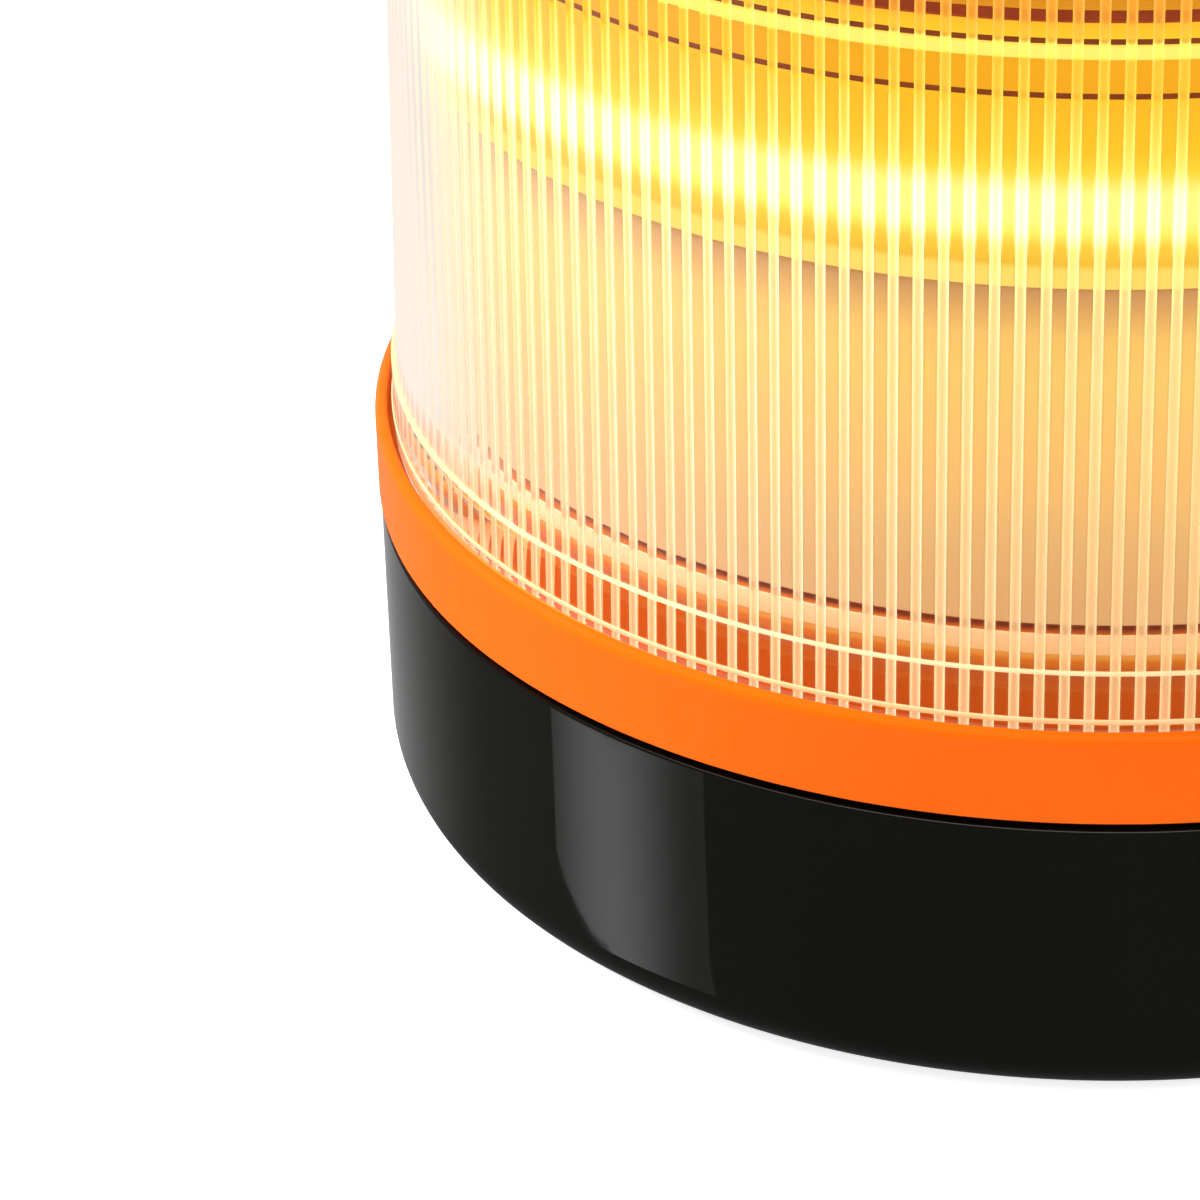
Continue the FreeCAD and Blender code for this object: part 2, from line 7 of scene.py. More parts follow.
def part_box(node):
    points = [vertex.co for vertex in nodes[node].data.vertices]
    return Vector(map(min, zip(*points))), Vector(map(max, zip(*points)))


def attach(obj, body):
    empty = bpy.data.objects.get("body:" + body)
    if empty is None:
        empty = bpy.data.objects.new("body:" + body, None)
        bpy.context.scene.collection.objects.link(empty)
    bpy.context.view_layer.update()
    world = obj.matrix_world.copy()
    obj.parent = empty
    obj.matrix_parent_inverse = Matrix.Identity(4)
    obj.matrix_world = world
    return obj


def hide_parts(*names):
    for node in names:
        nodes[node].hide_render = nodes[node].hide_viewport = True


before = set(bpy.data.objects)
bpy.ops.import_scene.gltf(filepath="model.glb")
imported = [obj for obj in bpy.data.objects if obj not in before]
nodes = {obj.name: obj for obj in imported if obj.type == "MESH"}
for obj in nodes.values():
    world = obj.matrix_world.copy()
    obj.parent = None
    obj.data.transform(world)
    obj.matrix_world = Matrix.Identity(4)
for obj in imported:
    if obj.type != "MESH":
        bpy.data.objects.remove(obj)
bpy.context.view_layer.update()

mm = 0.001
ringSegments = 288  # round enough for every plain turned piece
smallSegments = 192  # for the button, the pot and the magnet
fineSteps = 3  # cuts of a small rounded edge
slack = 0.01 * mm  # places this close count as one
weld = 0.002 * mm  # points this close are merged
offBore = 0.1 * mm  # faces this far from a bore count as outside
evenWeight = 100  # large faces keep their own direction when normals are evened


def topOf(node):
    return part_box(node)[1].z


def bottomOf(node):
    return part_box(node)[0].z


def radiusOf(node):
    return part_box(node)[1].x


# modelling helpers


def clearSelection():
    bpy.ops.object.select_all(action="DESELECT")


def pickOnly(piece):
    clearSelection()
    piece.select_set(True)
    bpy.context.view_layer.objects.active = piece


def editPiece(piece, mode="VERT"):
    pickOnly(piece)
    bpy.ops.object.mode_set(mode="EDIT")
    bpy.ops.mesh.select_mode(type=mode)


def leaveEdit():
    bpy.ops.object.mode_set(mode="OBJECT")


def nextRing(last, ring):  # pull the picked ring out to the next radius and height
    bpy.ops.mesh.extrude_region_move(TRANSFORM_OT_translate={"value": (0, 0, ring[1] - last[1])})
    grow = ring[0] / last[0]
    bpy.ops.transform.resize(value=(grow, grow, 1), center_override=(0, 0, ring[1]))


def turnPiece(name, path, segments=ringSegments, solid=False):
    clearSelection()
    bpy.ops.mesh.primitive_circle_add(vertices=segments, radius=path[0][0], location=(0, 0, path[0][1]))
    piece = bpy.context.object
    piece.name = name
    bpy.ops.object.transform_apply(location=True, rotation=True, scale=True)
    editPiece(piece)
    bpy.ops.mesh.select_all(action="SELECT")
    for last, ring in zip(path, path[1:]):
        nextRing(last, ring)
    if solid:  # both ends of the path close to a pole
        bpy.ops.mesh.merge(type="CENTER")
        bpy.ops.mesh.select_all(action="DESELECT")
        bpy.ops.mesh.select_non_manifold()
        bpy.ops.mesh.merge(type="CENTER")
    else:
        nextRing(path[-1], path[0])
    bpy.ops.mesh.select_all(action="SELECT")
    bpy.ops.mesh.remove_doubles(threshold=weld)
    bpy.ops.mesh.normals_make_consistent(inside=False)
    leaveEdit()
    return piece


def pickRings(piece, rings):  # select the round edges that lie at these radii and heights
    mesh = piece.data
    ringOf = []
    for vertex in mesh.vertices:
        reach = math.hypot(vertex.co.x, vertex.co.y)
        found = None
        for i, (radius, height) in enumerate(rings):
            if found is None and abs(radius - reach) < slack and abs(height - vertex.co.z) < slack:
                found = i
        ringOf.append(found)
    for face in mesh.polygons:
        face.select = False
    for vertex in mesh.vertices:
        vertex.select = ringOf[vertex.index] is not None
    for edge in mesh.edges:
        ends = [ringOf[i] for i in edge.vertices]
        edge.select = ends[0] is not None and ends[0] == ends[1]


def roundRings(piece, rings, width, steps=4):
    pickRings(piece, rings)
    editPiece(piece, "EDGE")
    bpy.ops.mesh.bevel(offset=width, segments=steps, affect="EDGES")
    leaveEdit()


def smoothPiece(piece, angle=40):
    pickOnly(piece)
    bpy.ops.object.shade_smooth_by_angle(angle=math.radians(angle))
    evener = piece.modifiers.new("evenNormals", "WEIGHTED_NORMAL")
    evener.keep_sharp = True
    evener.weight = evenWeight
    bpy.ops.object.modifier_apply(modifier=evener.name)


def dressPiece(piece, body, node, material):
    piece.data.materials.clear()
    piece.data.materials.append(material)
    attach(piece, body)
    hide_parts(node)


# material helpers

noiseSpan = (0.3, 0.7)  # most values of a noise texture lie between these
fineDetail = 2.0
marksDetail = 4.0
clearIndex = 1.49  # refraction of clear moulded plastic


def newFinish(name):
    finish = bpy.data.materials.new(name)
    finish.use_nodes = True
    shader = finish.node_tree.nodes["Principled BSDF"]
    return finish, finish.node_tree, shader


def addNode(tree, kind, **values):
    node = tree.nodes.new(kind)
    for name, value in values.items():
        setattr(node, name, value)
    return node


def setInputs(node, values):
    for name, value in values.items():
        node.inputs[name].default_value = value


def mixShaders(tree, share, first, second):
    mix = addNode(tree, "ShaderNodeMixShader")
    tree.links.new(share, mix.inputs[0])
    tree.links.new(first, mix.inputs[1])
    tree.links.new(second, mix.inputs[2])
    return mix.outputs[0]


def objectPlace(tree):
    return addNode(tree, "ShaderNodeTexCoord").outputs["Object"]


def grainOf(tree, scale, detail=3.0):
    grain = addNode(tree, "ShaderNodeTexNoise")
    setInputs(grain, {"Scale": scale, "Detail": detail})
    tree.links.new(objectPlace(tree), grain.inputs["Vector"])
    return grain.outputs["Fac"]


def spread(tree, source, low, high):  # a 0 to 1 value laid between two levels
    ranged = addNode(tree, "ShaderNodeMapRange")
    setInputs(ranged, {"From Min": noiseSpan[0], "From Max": noiseSpan[1], "To Min": low, "To Max": high})
    tree.links.new(source, ranged.inputs["Value"])
    return ranged.outputs["Result"]


def tintBetween(tree, source, darker, lighter):
    ramp = addNode(tree, "ShaderNodeValToRGB")
    for stop, place, colour in zip(ramp.color_ramp.elements, noiseSpan, (darker, lighter)):
        stop.position = place
        stop.color = (*colour, 1)
    tree.links.new(source, ramp.inputs["Fac"])
    return ramp.outputs["Color"]


def raiseGrain(tree, shader, source, depth):
    bump = addNode(tree, "ShaderNodeBump")
    setInputs(bump, {"Strength": 1.0, "Distance": depth})
    tree.links.new(source, bump.inputs["Height"])
    tree.links.new(bump.outputs["Normal"], shader.inputs["Normal"])


def mouldedFinish(name, look):  # plastic and rubber: cloudy tint, uneven gloss, fine grain
    finish, tree, shader = newFinish(name)
    cloud = grainOf(tree, look["cloud"])
    tint = tintBetween(tree, cloud, look["darker"], look["lighter"])
    tree.links.new(tint, shader.inputs["Base Color"])
    tree.links.new(spread(tree, cloud, *look["rough"]), shader.inputs["Roughness"])
    shader.inputs["Specular IOR Level"].default_value = look["shine"]
    raiseGrain(tree, shader, grainOf(tree, look["grain"], fineDetail), look["depth"])
    return finish


def platedFinish(name, look):  # metal with turning marks round the axis
    finish, tree, shader = newFinish(name)
    apart = addNode(tree, "ShaderNodeSeparateXYZ")
    tree.links.new(objectPlace(tree), apart.inputs[0])
    flat = addNode(tree, "ShaderNodeCombineXYZ")
    tree.links.new(apart.outputs["X"], flat.inputs["X"])
    tree.links.new(apart.outputs["Y"], flat.inputs["Y"])
    reach = addNode(tree, "ShaderNodeVectorMath", operation="LENGTH")
    tree.links.new(flat.outputs[0], reach.inputs[0])
    marks = addNode(tree, "ShaderNodeTexNoise", noise_dimensions="1D")
    setInputs(marks, {"Scale": look["marks"], "Detail": marksDetail})
    tree.links.new(reach.outputs["Value"], marks.inputs["W"])
    streaks = marks.outputs["Fac"]
    shader.inputs["Metallic"].default_value = 1.0
    tint = tintBetween(tree, streaks, look["darker"], look["lighter"])
    tree.links.new(tint, shader.inputs["Base Color"])
    tree.links.new(spread(tree, streaks, *look["rough"]), shader.inputs["Roughness"])
    raiseGrain(tree, shader, streaks, look["depth"])
    return finish


def heightRamp(tree, stops):  # colour by height on the piece, with stops in metres
    low = stops[0][0]
    high = stops[-1][0]
    apart = addNode(tree, "ShaderNodeSeparateXYZ")
    tree.links.new(objectPlace(tree), apart.inputs[0])
    ranged = addNode(tree, "ShaderNodeMapRange")
    setInputs(ranged, {"From Min": low, "From Max": high})
    tree.links.new(apart.outputs["Z"], ranged.inputs["Value"])
    ramp = addNode(tree, "ShaderNodeValToRGB")
    bar = ramp.color_ramp
    bar.elements.remove(bar.elements[1])
    for i, (height, colour) in enumerate(stops):
        share = (height - low) / (high - low)
        stop = bar.elements[0] if i == 0 else bar.elements.new(share)
        stop.position = share
        stop.color = (*colour, 1)
    tree.links.new(ranged.outputs["Result"], ramp.inputs["Fac"])
    return ramp.outputs["Color"]


def fromBand(stops):  # stops in mm above the foot of the light band
    foot = bottomOf("light_ring")
    return [(foot + rise * mm, colour) for rise, colour in stops]


def glowFinish(name, look):  # moulding lit from inside, its glow and tint by height: on the band its own light, on the pieces round it painted light of the band
    finish, tree, shader = newFinish(name)
    cloud = grainOf(tree, look["cloud"])
    tint = tintBetween(tree, cloud, look["darker"], look["lighter"])
    if "tints" in look:
        stained = addNode(tree, "ShaderNodeVectorMath", operation="MULTIPLY")
        tree.links.new(tint, stained.inputs[0])
        tree.links.new(heightRamp(tree, fromBand(look["tints"])), stained.inputs[1])
        tint = stained.outputs["Vector"]
    tree.links.new(tint, shader.inputs["Base Color"])
    tree.links.new(heightRamp(tree, fromBand(look["stops"])), shader.inputs["Emission Color"])
    setInputs(shader, {"Emission Strength": look["glow"], "Roughness": look["rough"]})
    shader.inputs["Specular IOR Level"].default_value = look["shine"]
    raiseGrain(tree, shader, grainOf(tree, look["grain"], fineDetail), look["depth"])
    return finish


def paintBetween(piece, finish, reaches, heights):  # a further finish on the faces in this range
    piece.data.materials.append(finish)
    for face in piece.data.polygons:
        reach = math.hypot(face.center.x, face.center.y)
        if reaches[0] < reach < reaches[1] and heights[0] < face.center.z < heights[1]:
            face.material_index = len(piece.data.materials) - 1


# magnetic base

baseLook = {
    "wall": 2.2 * mm,
    "edge": 2.6 * mm,
    "edgeSteps": 14,
    "rimEdge": 0.14 * mm,
    "padEdge": 4.6 * mm,
    "padLand": 3.2 * mm,
    "padDepth": 0.8 * mm,
    "wellDepth": 4.3 * mm,
    "potRoom": 0.1 * mm,
    "floor": 2.2 * mm,
    "wellWall": 1.8 * mm,
    "boss": 3.5 * mm,
    "bossRise": 2.0 * mm,
    "core": 0.2 * mm,  # first and last ring, which close to a pole
}
blackGloss = {
    "darker": (0.0034, 0.0035, 0.0026),
    "lighter": (0.0046, 0.0047, 0.0037),
    "cloud": 60.0,
    "rough": (0.02, 0.035),
    "shine": 0.32,
    "grain": 900.0,
    "depth": 0.0006 * mm,
}


def makeBase():
    radius = radiusOf("base_cup")
    bottom = bottomOf("base_cup")
    rim = topOf("base_cup")
    bore = radius - baseLook["wall"]
    padOuter = radius - baseLook["padEdge"]
    well = radiusOf("magnet_pot") + baseLook["potRoom"]
    padInner = well + baseLook["padLand"]
    padSeat = bottom + baseLook["padDepth"]
    wellTop = bottom + baseLook["wellDepth"]
    floorTop = padSeat + baseLook["floor"]
    wellOuter = well + baseLook["wellWall"]
    hat = wellTop + baseLook["wellWall"]
    bossTop = hat + baseLook["bossRise"]
    path = [
        (baseLook["core"], wellTop),
        (well, wellTop),
        (well, bottom),
        (padInner, bottom),
        (padInner, padSeat),
        (padOuter, padSeat),
        (padOuter, bottom),
        (radius, bottom),
        (radius, rim),
        (bore, rim),
        (bore, floorTop),
        (wellOuter, floorTop),
        (wellOuter, hat),
        (baseLook["boss"], hat),
        (baseLook["boss"], bossTop),
        (baseLook["core"], bossTop),
    ]
    base = turnPiece("baseCup", path, solid=True)
    roundRings(base, [(radius, bottom)], baseLook["edge"], baseLook["edgeSteps"])
    roundRings(base, [(radius, rim), (bore, rim)], baseLook["rimEdge"], fineSteps)
    smoothPiece(base)
    dressPiece(base, "base", "base_cup", mouldedFinish("blackGloss", blackGloss))
    print("base cup turned")


# orange ring and collar

ringLook = {
    "lip": 0.7 * mm,
    "channel": 1.25 * mm,
    "seat": 0.3 * mm,  # the lens stands this far above the floor of its channel
    "edge": 0.55 * mm,
    "edgeSteps": 6,
    "innerEdge": 0.12 * mm,
    "lowEdge": 0.18 * mm,
    "collarEdge": 0.36 * mm,
    "sealWidth": 1.2 * mm,
    "sealRoom": 0.03 * mm,
    "skirtIn": 3.8 * mm,  # from the outside of the base to the skirt
    "wall": 1.7 * mm,
    "floorRise": 0.8 * mm,
    "floor": 1.6 * mm,
    "core": 0.2 * mm,
}
orangeGloss = {
    "darker": (0.93, 0.124, 0.0006),
    "lighter": (0.98, 0.136, 0.0009),
    "cloud": 45.0,
    "rough": (0.30, 0.38),
    "shine": 0.1,
    "grain": 1400.0,
    "depth": 0.0012 * mm,
}
# painted shade and painted light on the collar and channel seen through the lens: a darker copy of the
# ring's orange, with emission by height for the light band's light, strongest near the collar's top
collarShadeAndGlow = {
    "darker": (0.51, 0.080, 0.007),
    "lighter": (0.56, 0.090, 0.009),
    "cloud": 80.0,
    "rough": 0.5,
    "shine": 0.05,
    "grain": 1400.0,
    "depth": 0.0012 * mm,
    "glow": 1.0,
    "stops": [
        (-24.5, (0.05, 0.022, 0.0)),
        (-20.7, (0.06, 0.032, 0.0)),
        (-20.4, (0.09, 0.050, 0.0)),
        (-20.2, (0.20, 0.08, 0.0)),
        (-19.95, (0.22, 0.11, 0.0)),
        (-19.7, (0.34, 0.26, 0.04)),
        (-19.6, (0.37, 0.28, 0.05)),
    ],
}


def makeRing(finish):
    radius = radiusOf("chassis")
    bottom = topOf("base_seal")
    channel = topOf("lens_seal") - ringLook["seat"]
    top = channel + ringLook["channel"]
    lip = radius - ringLook["lip"]
    collar = radiusOf("lower_reflector")
    collarTop = bottomOf("lower_reflector")
    skirtBottom = bottomOf("chassis")
    skirt = radiusOf("base_cup") - ringLook["skirtIn"]
    bore = skirt - ringLook["wall"]
    floorBottom = top + ringLook["floorRise"]
    floorTop = floorBottom + ringLook["floor"]
    sealOuter = radiusOf("lens_seal") + ringLook["sealRoom"]
    sealInner = radiusOf("lens_seal") - ringLook["sealWidth"] - ringLook["sealRoom"]
    sealBottom = bottomOf("lens_seal") - ringLook["sealRoom"]
    path = [
        (ringLook["core"], floorBottom),
        (bore, floorBottom),
        (bore, skirtBottom),
        (skirt, skirtBottom),
        (skirt, bottom),
        (radius, bottom),
        (radius, top),
        (lip, top),
        (lip, channel),
        (sealOuter, channel),
        (sealOuter, sealBottom),
        (sealInner, sealBottom),
        (sealInner, channel),
        (collar, channel),
        (collar, collarTop),
        (bore, collarTop),
        (bore, floorTop),
        (ringLook["core"], floorTop),
    ]
    ring = turnPiece("orangeRing", path, solid=True)
    roundRings(ring, [(radius, top)], ringLook["edge"], ringLook["edgeSteps"])
    roundRings(ring, [(lip, top)], ringLook["innerEdge"], fineSteps)
    roundRings(ring, [(radius, bottom)], ringLook["lowEdge"], fineSteps)
    roundRings(ring, [(collar, collarTop)], ringLook["collarEdge"])
    smoothPiece(ring)
    dressPiece(ring, "housing", "chassis", finish)
    # the collar, lip and channel get the painted shade and painted glow
    reaches = (bore + mm, lip + 2 * slack)
    heights = (channel - 2 * slack, collarTop + 2 * slack)
    paintBetween(ring, glowFinish("collarPaintedShadeAndGlow", collarShadeAndGlow), reaches, heights)
    print("orange ring turned")


# fluted lens

lensLook = {
    "ribs": 190,
    "columns": 14,  # per rib pitch
    "ribHalf": 3,  # columns from the crest to the foot of a rib
    "crestHalf": 2,  # columns from the crest that have the crest's finish
    "ribTurn": -3,  # columns from the X axis to the first crest
    "ribHeight": 0.22 * mm,
    "ribWidth": 0.514 * mm,
    "wall": 1.9 * mm,
    "draft": 1.4,
    "foot": 0.25 * mm,
    "footHeight": 3.95 * mm,
    "bead": 0.1 * mm,
    "beadHeight": 0.3 * mm,
    "beadRise": 1.1 * mm,
    "beadEdge": 0.07 * mm,
    "stepEdge": 0.13 * mm,
    "stepIn": 0.05 * mm,  # the step gets the painted highlight outside this distance from the wall
    "stepBand": 0.143 * mm,  # and this far above and below
    "edgeSteps": 2,
    "upright": 0.5,  # faces of the bore lean less than this
    "smooth": 38,
    "rough": 0.0,
    "sheen": (1.0, 0.90, 0.80),  # painted sheen: a pale emission mixed in where the wall is seen edge on, and less near its foot
    "sheenFrom": 0.5,
    "sheenFull": 0.8,
    "sheenMost": 0.95,
    "sheenRise": [(-20.5, (0.15, 0.15, 0.15)), (-17.5, (1.0, 1.0, 1.0))],
}
# painted light on the clear ribs: cream tint and emission by height for the band's light; the sides are a
# brighter copy than the crests, a painted highlight
ribSideGlow = {
    "darker": (0.86, 0.79, 0.76),
    "lighter": (0.92, 0.85, 0.82),
    "cloud": 300.0,
    "rough": 0.35,
    "shine": 0.3,
    "grain": 2000.0,
    "depth": 0.001 * mm,
    "glow": 1.0,
    "through": 0.45,
    "stops": [
        (-23.3, (0.41, 0.28, 0.13)),
        (-19.6, (0.42, 0.27, 0.09)),
        (-18.6, (0.43, 0.22, 0.03)),
        (-12.0, (0.46, 0.26, 0.03)),
        (-2.0, (0.50, 0.34, 0.06)),
        (2.2, (0.68, 0.52, 0.05)),
        (3.2, (1.0, 0.95, 0.47)),
        (4.9, (1.0, 0.95, 0.47)),
        (6.3, (0.74, 0.51, 0.02)),
        (8.0, (0.66, 0.43, 0.01)),
        (9.6, (0.60, 0.36, 0.0)),
    ],
    "tints": [
        (-23.3, (1.0, 0.93, 0.72)),
        (-19.8, (1.0, 0.94, 0.74)),
        (-18.4, (1.0, 1.0, 1.0)),
        (5.5, (1.0, 1.0, 1.0)),
        (8.0, (0.94, 0.80, 0.45)),
        (9.6, (0.90, 0.74, 0.30)),
    ],
}
ribCrestGlow = dict(
    ribSideGlow,
    glow=0.85,
    through=0.5,
    darker=(0.74, 0.67, 0.63),
    lighter=(0.80, 0.73, 0.68),
)
# painted halo of the band on the flats beside the rib feet
ribFootGlow = dict(
    ribSideGlow,
    rough=0.02,
    through=0.95,
    stops=[
        (1.8, (0.0, 0.0, 0.0)),
        (3.3, (0.55, 0.50, 0.25)),
        (4.9, (0.55, 0.50, 0.25)),
        (6.6, (0.0, 0.0, 0.0)),
    ],
    tints=[(0.0, (1.0, 1.0, 1.0)), (10.0, (1.0, 0.96, 0.9))],
)
# painted glow of the band on the ribs above it, with a painted highlight at the crown's bead
ribUpperGlow = {
    "darker": (0.78, 0.54, 0.12),
    "lighter": (0.86, 0.62, 0.16),
    "cloud": 300.0,
    "rough": 0.35,
    "shine": 0.3,
    "grain": 2000.0,
    "depth": 0.001 * mm,
    "glow": 1.0,
    "through": 0.55,
    "stops": [
        (9.6, (0.50, 0.28, 0.0)),
        (11.85, (0.47, 0.25, 0.0)),
        (12.0, (0.55, 0.60, 0.09)),
        (12.6, (0.55, 0.60, 0.09)),
        (12.75, (0.45, 0.22, 0.0)),
        (13.3, (0.44, 0.20, 0.0)),
        (14.0, (0.50, 0.17, 0.0)),
        (20.0, (0.40, 0.10, 0.0)),
    ],
}
# painted highlight: cream, mostly opaque lines with a faint glow on the lens's bead and step edges
edgeHighlightLook = {
    "darker": (0.80, 0.64, 0.38),
    "lighter": (0.88, 0.72, 0.46),
    "cloud": 500.0,
    "rough": 0.35,
    "shine": 0.3,
    "grain": 2000.0,
    "depth": 0.001 * mm,
    "glow": 1.0,
    "through": 0.2,
    "stops": [(-23.3, (0.16, 0.08, 0.0)), (-19.0, (0.17, 0.10, 0.01))],
}


def letShadowThrough(tree, surface):  # lamps reach the pieces behind the clear wall
    ray = addNode(tree, "ShaderNodeLightPath")
    clearWay = addNode(tree, "ShaderNodeBsdfTransparent")
    shown = mixShaders(tree, ray.outputs["Is Shadow Ray"], surface, clearWay.outputs[0])
    tree.links.new(shown, tree.nodes["Material Output"].inputs["Surface"])


def clearFinish(name):  # glass clear, with a painted sheen: a pale emission mixed in where it is seen edge on
    finish, tree, shader = newFinish(name)
    shader.inputs["Base Color"].default_value = (1, 1, 1, 1)
    setInputs(shader, {"Transmission Weight": 1.0, "IOR": clearIndex, "Roughness": lensLook["rough"]})
    edgeOn = addNode(tree, "ShaderNodeLayerWeight")
    share = addNode(tree, "ShaderNodeMapRange")
    setInputs(share, {"From Min": lensLook["sheenFrom"], "From Max": lensLook["sheenFull"]})
    share.inputs["To Max"].default_value = lensLook["sheenMost"]
    tree.links.new(edgeOn.outputs["Facing"], share.inputs["Value"])
    raised = addNode(tree, "ShaderNodeMath", operation="MULTIPLY")
    tree.links.new(share.outputs["Result"], raised.inputs[0])
    tree.links.new(heightRamp(tree, fromBand(lensLook["sheenRise"])), raised.inputs[1])
    sheen = addNode(tree, "ShaderNodeEmission")
    sheen.inputs["Color"].default_value = (*lensLook["sheen"], 1)
    letShadowThrough(tree, mixShaders(tree, raised.outputs[0], shader.outputs[0], sheen.outputs[0]))
    return finish


def frostFinish(name, look):  # cloudy moulding that lets part of the light through; it carries the painted glow and painted highlights on the clear lens
    finish = glowFinish(name, look)
    tree = finish.node_tree
    shader = tree.nodes["Principled BSDF"]
    setInputs(shader, {"Transmission Weight": look["through"], "IOR": clearIndex})
    letShadowThrough(tree, shader.outputs[0])
    return finish


def ribReach(column):  # how far a half-round rib stands in at this column
    half = lensLook["ribWidth"] / 2
    height = lensLook["ribHeight"]
    curve = (half * half + height * height) / (2 * height)
    aside = abs(column) * half / lensLook["ribHalf"]
    return math.sqrt(curve * curve - aside * aside) - (curve - height)


def columnOf(place):  # column of a lens point, counted from the nearest rib crest
    around = math.atan2(place.y, place.x) / math.tau * lensLook["ribs"]
    turn = around - lensLook["ribTurn"] / lensLook["columns"]
    return (turn - round(turn)) * lensLook["columns"]


def pullRibs(lens, bore):  # draw each column of rib points in from the bore
    onBore = [abs(math.hypot(v.co.x, v.co.y) - bore) < slack for v in lens.data.vertices]
    columns = [abs(round(columnOf(v.co))) for v in lens.data.vertices]
    for column in range(lensLook["ribHalf"]):
        for face in lens.data.polygons:
            face.select = False
        for edge in lens.data.edges:
            edge.select = False
        for vertex in lens.data.vertices:
            vertex.select = onBore[vertex.index] and columns[vertex.index] == column
        inward = 1 - ribReach(column) / bore
        editPiece(lens)
        bpy.ops.transform.resize(value=(inward, inward, 1), center_override=(0, 0, 0))
        leaveEdit()


def makeLens():
    bottom = bottomOf("lens")
    top = topOf("lens")
    bead = radiusOf("lens")
    foot = bead - lensLook["bead"]
    outer = foot - lensLook["foot"]
    bore = outer - lensLook["wall"]
    beadBottom = bottom + lensLook["beadRise"]
    beadTop = beadBottom + lensLook["beadHeight"]
    step = bottom + lensLook["footHeight"]
    bandTop = topOf("light_ring")
    outerTop = outer - (top - step) * math.tan(math.radians(lensLook["draft"]))
    path = [
        (bore, bottom),
        (foot, bottom),
        (foot, beadBottom),
        (bead, beadBottom),
        (bead, beadTop),
        (foot, beadTop),
        (foot, step),
        (outer, step),
        (outerTop, top),
        (bore, top),
        (bore, bandTop),
    ]
    lens = turnPiece("lensShell", path, lensLook["ribs"] * lensLook["columns"])
    pullRibs(lens, bore)
    roundRings(lens, [(bead, beadBottom), (bead, beadTop)], lensLook["beadEdge"], lensLook["edgeSteps"])
    roundRings(lens, [(foot, step)], lensLook["stepEdge"], lensLook["edgeSteps"])
    pickOnly(lens)
    bpy.ops.object.shade_smooth_by_angle(angle=math.radians(lensLook["smooth"]))
    dressPiece(lens, "housing", "lens", clearFinish("lensClear"))
    frosts = {
        "lensEdgeHighlight": edgeHighlightLook,
        "ribSide": ribSideGlow,
        "ribCrest": ribCrestGlow,
        "ribFoot": ribFootGlow,
        "ribUpper": ribUpperGlow,
    }
    for name, look in frosts.items():
        lens.data.materials.append(frostFinish(name, look))
    slotOf = {name: i + 1 for i, name in enumerate(frosts)}
    # bead and step get the painted highlight; rib sides, crests and feet the painted glow, the sides
    # brighter than the crests
    for face in lens.data.polygons:
        reach = math.hypot(face.center.x, face.center.y)
        column = abs(columnOf(face.center))
        onRib = column < lensLook["ribHalf"]
        onBead = reach > foot + 2 * slack
        onStep = reach > outer + lensLook["stepIn"] and abs(face.center.z - step) < lensLook["stepBand"]
        onBore = reach < bore + slack and abs(face.normal.z) < lensLook["upright"]
        if onBead or onStep:
            face.material_index = slotOf["lensEdgeHighlight"]
        elif onBore and face.center.z > bandTop:
            face.material_index = slotOf["ribUpper"] if onRib else 0
        elif onBore and column < lensLook["crestHalf"]:
            face.material_index = slotOf["ribCrest"]
        elif onBore and onRib:
            face.material_index = slotOf["ribSide"]
        elif onBore and column < lensLook["ribHalf"] + 1:
            face.material_index = slotOf["ribFoot"]
    print("lens ribs:", lensLook["ribs"])


# white drum, light band and crown behind the lens

drumLook = {
    "wall": 1.6 * mm,
    "relief": 0.2 * mm,
    "flange": 1.17 * mm,
    "groove": 0.38 * mm,
    "grooveDepth": 0.7 * mm,
    "edge": 0.1 * mm,
}
# painted light of the band on the drum: emission by height, strongest in its middle, falling to painted
# shadow just under the band
drumGlow = {
    "darker": (0.40, 0.295, 0.20),
    "lighter": (0.46, 0.340, 0.23),
    "cloud": 40.0,
    "rough": 0.5,
    "shine": 0.08,
    "grain": 900.0,
    "depth": 0.002 * mm,
    "glow": 1.0,
    "stops": [
        (-20.0, (0.38, 0.185, 0.055)),
        (-15.6, (0.46, 0.235, 0.055)),
        (-13.4, (0.49, 0.27, 0.065)),
        (-11.3, (0.58, 0.31, 0.055)),
        (-9.1, (0.62, 0.335, 0.045)),
        (-4.8, (0.60, 0.39, 0.035)),
        (-2.6, (0.59, 0.34, 0.025)),
        (-1.0, (0.36, 0.14, 0.0)),
        (0.0, (0.20, 0.04, 0.0)),
    ],
}
# a lighter copy of the drum finish: painted light on the flange
flangeGlow = dict(drumGlow, darker=(0.66, 0.52, 0.36), lighter=(0.72, 0.57, 0.40))
# painted shade in the grooves of the drum and crown: a darker orange-brown, tinted by the band's amber
# light
groovePaintedShade = {
    "darker": (0.53, 0.125, 0.004),
    "lighter": (0.65, 0.155, 0.006),
    "cloud": 700.0,
    "rough": (0.7, 0.9),
    "shine": 0.04,
    "grain": 2000.0,
    "depth": 0.002 * mm,
}
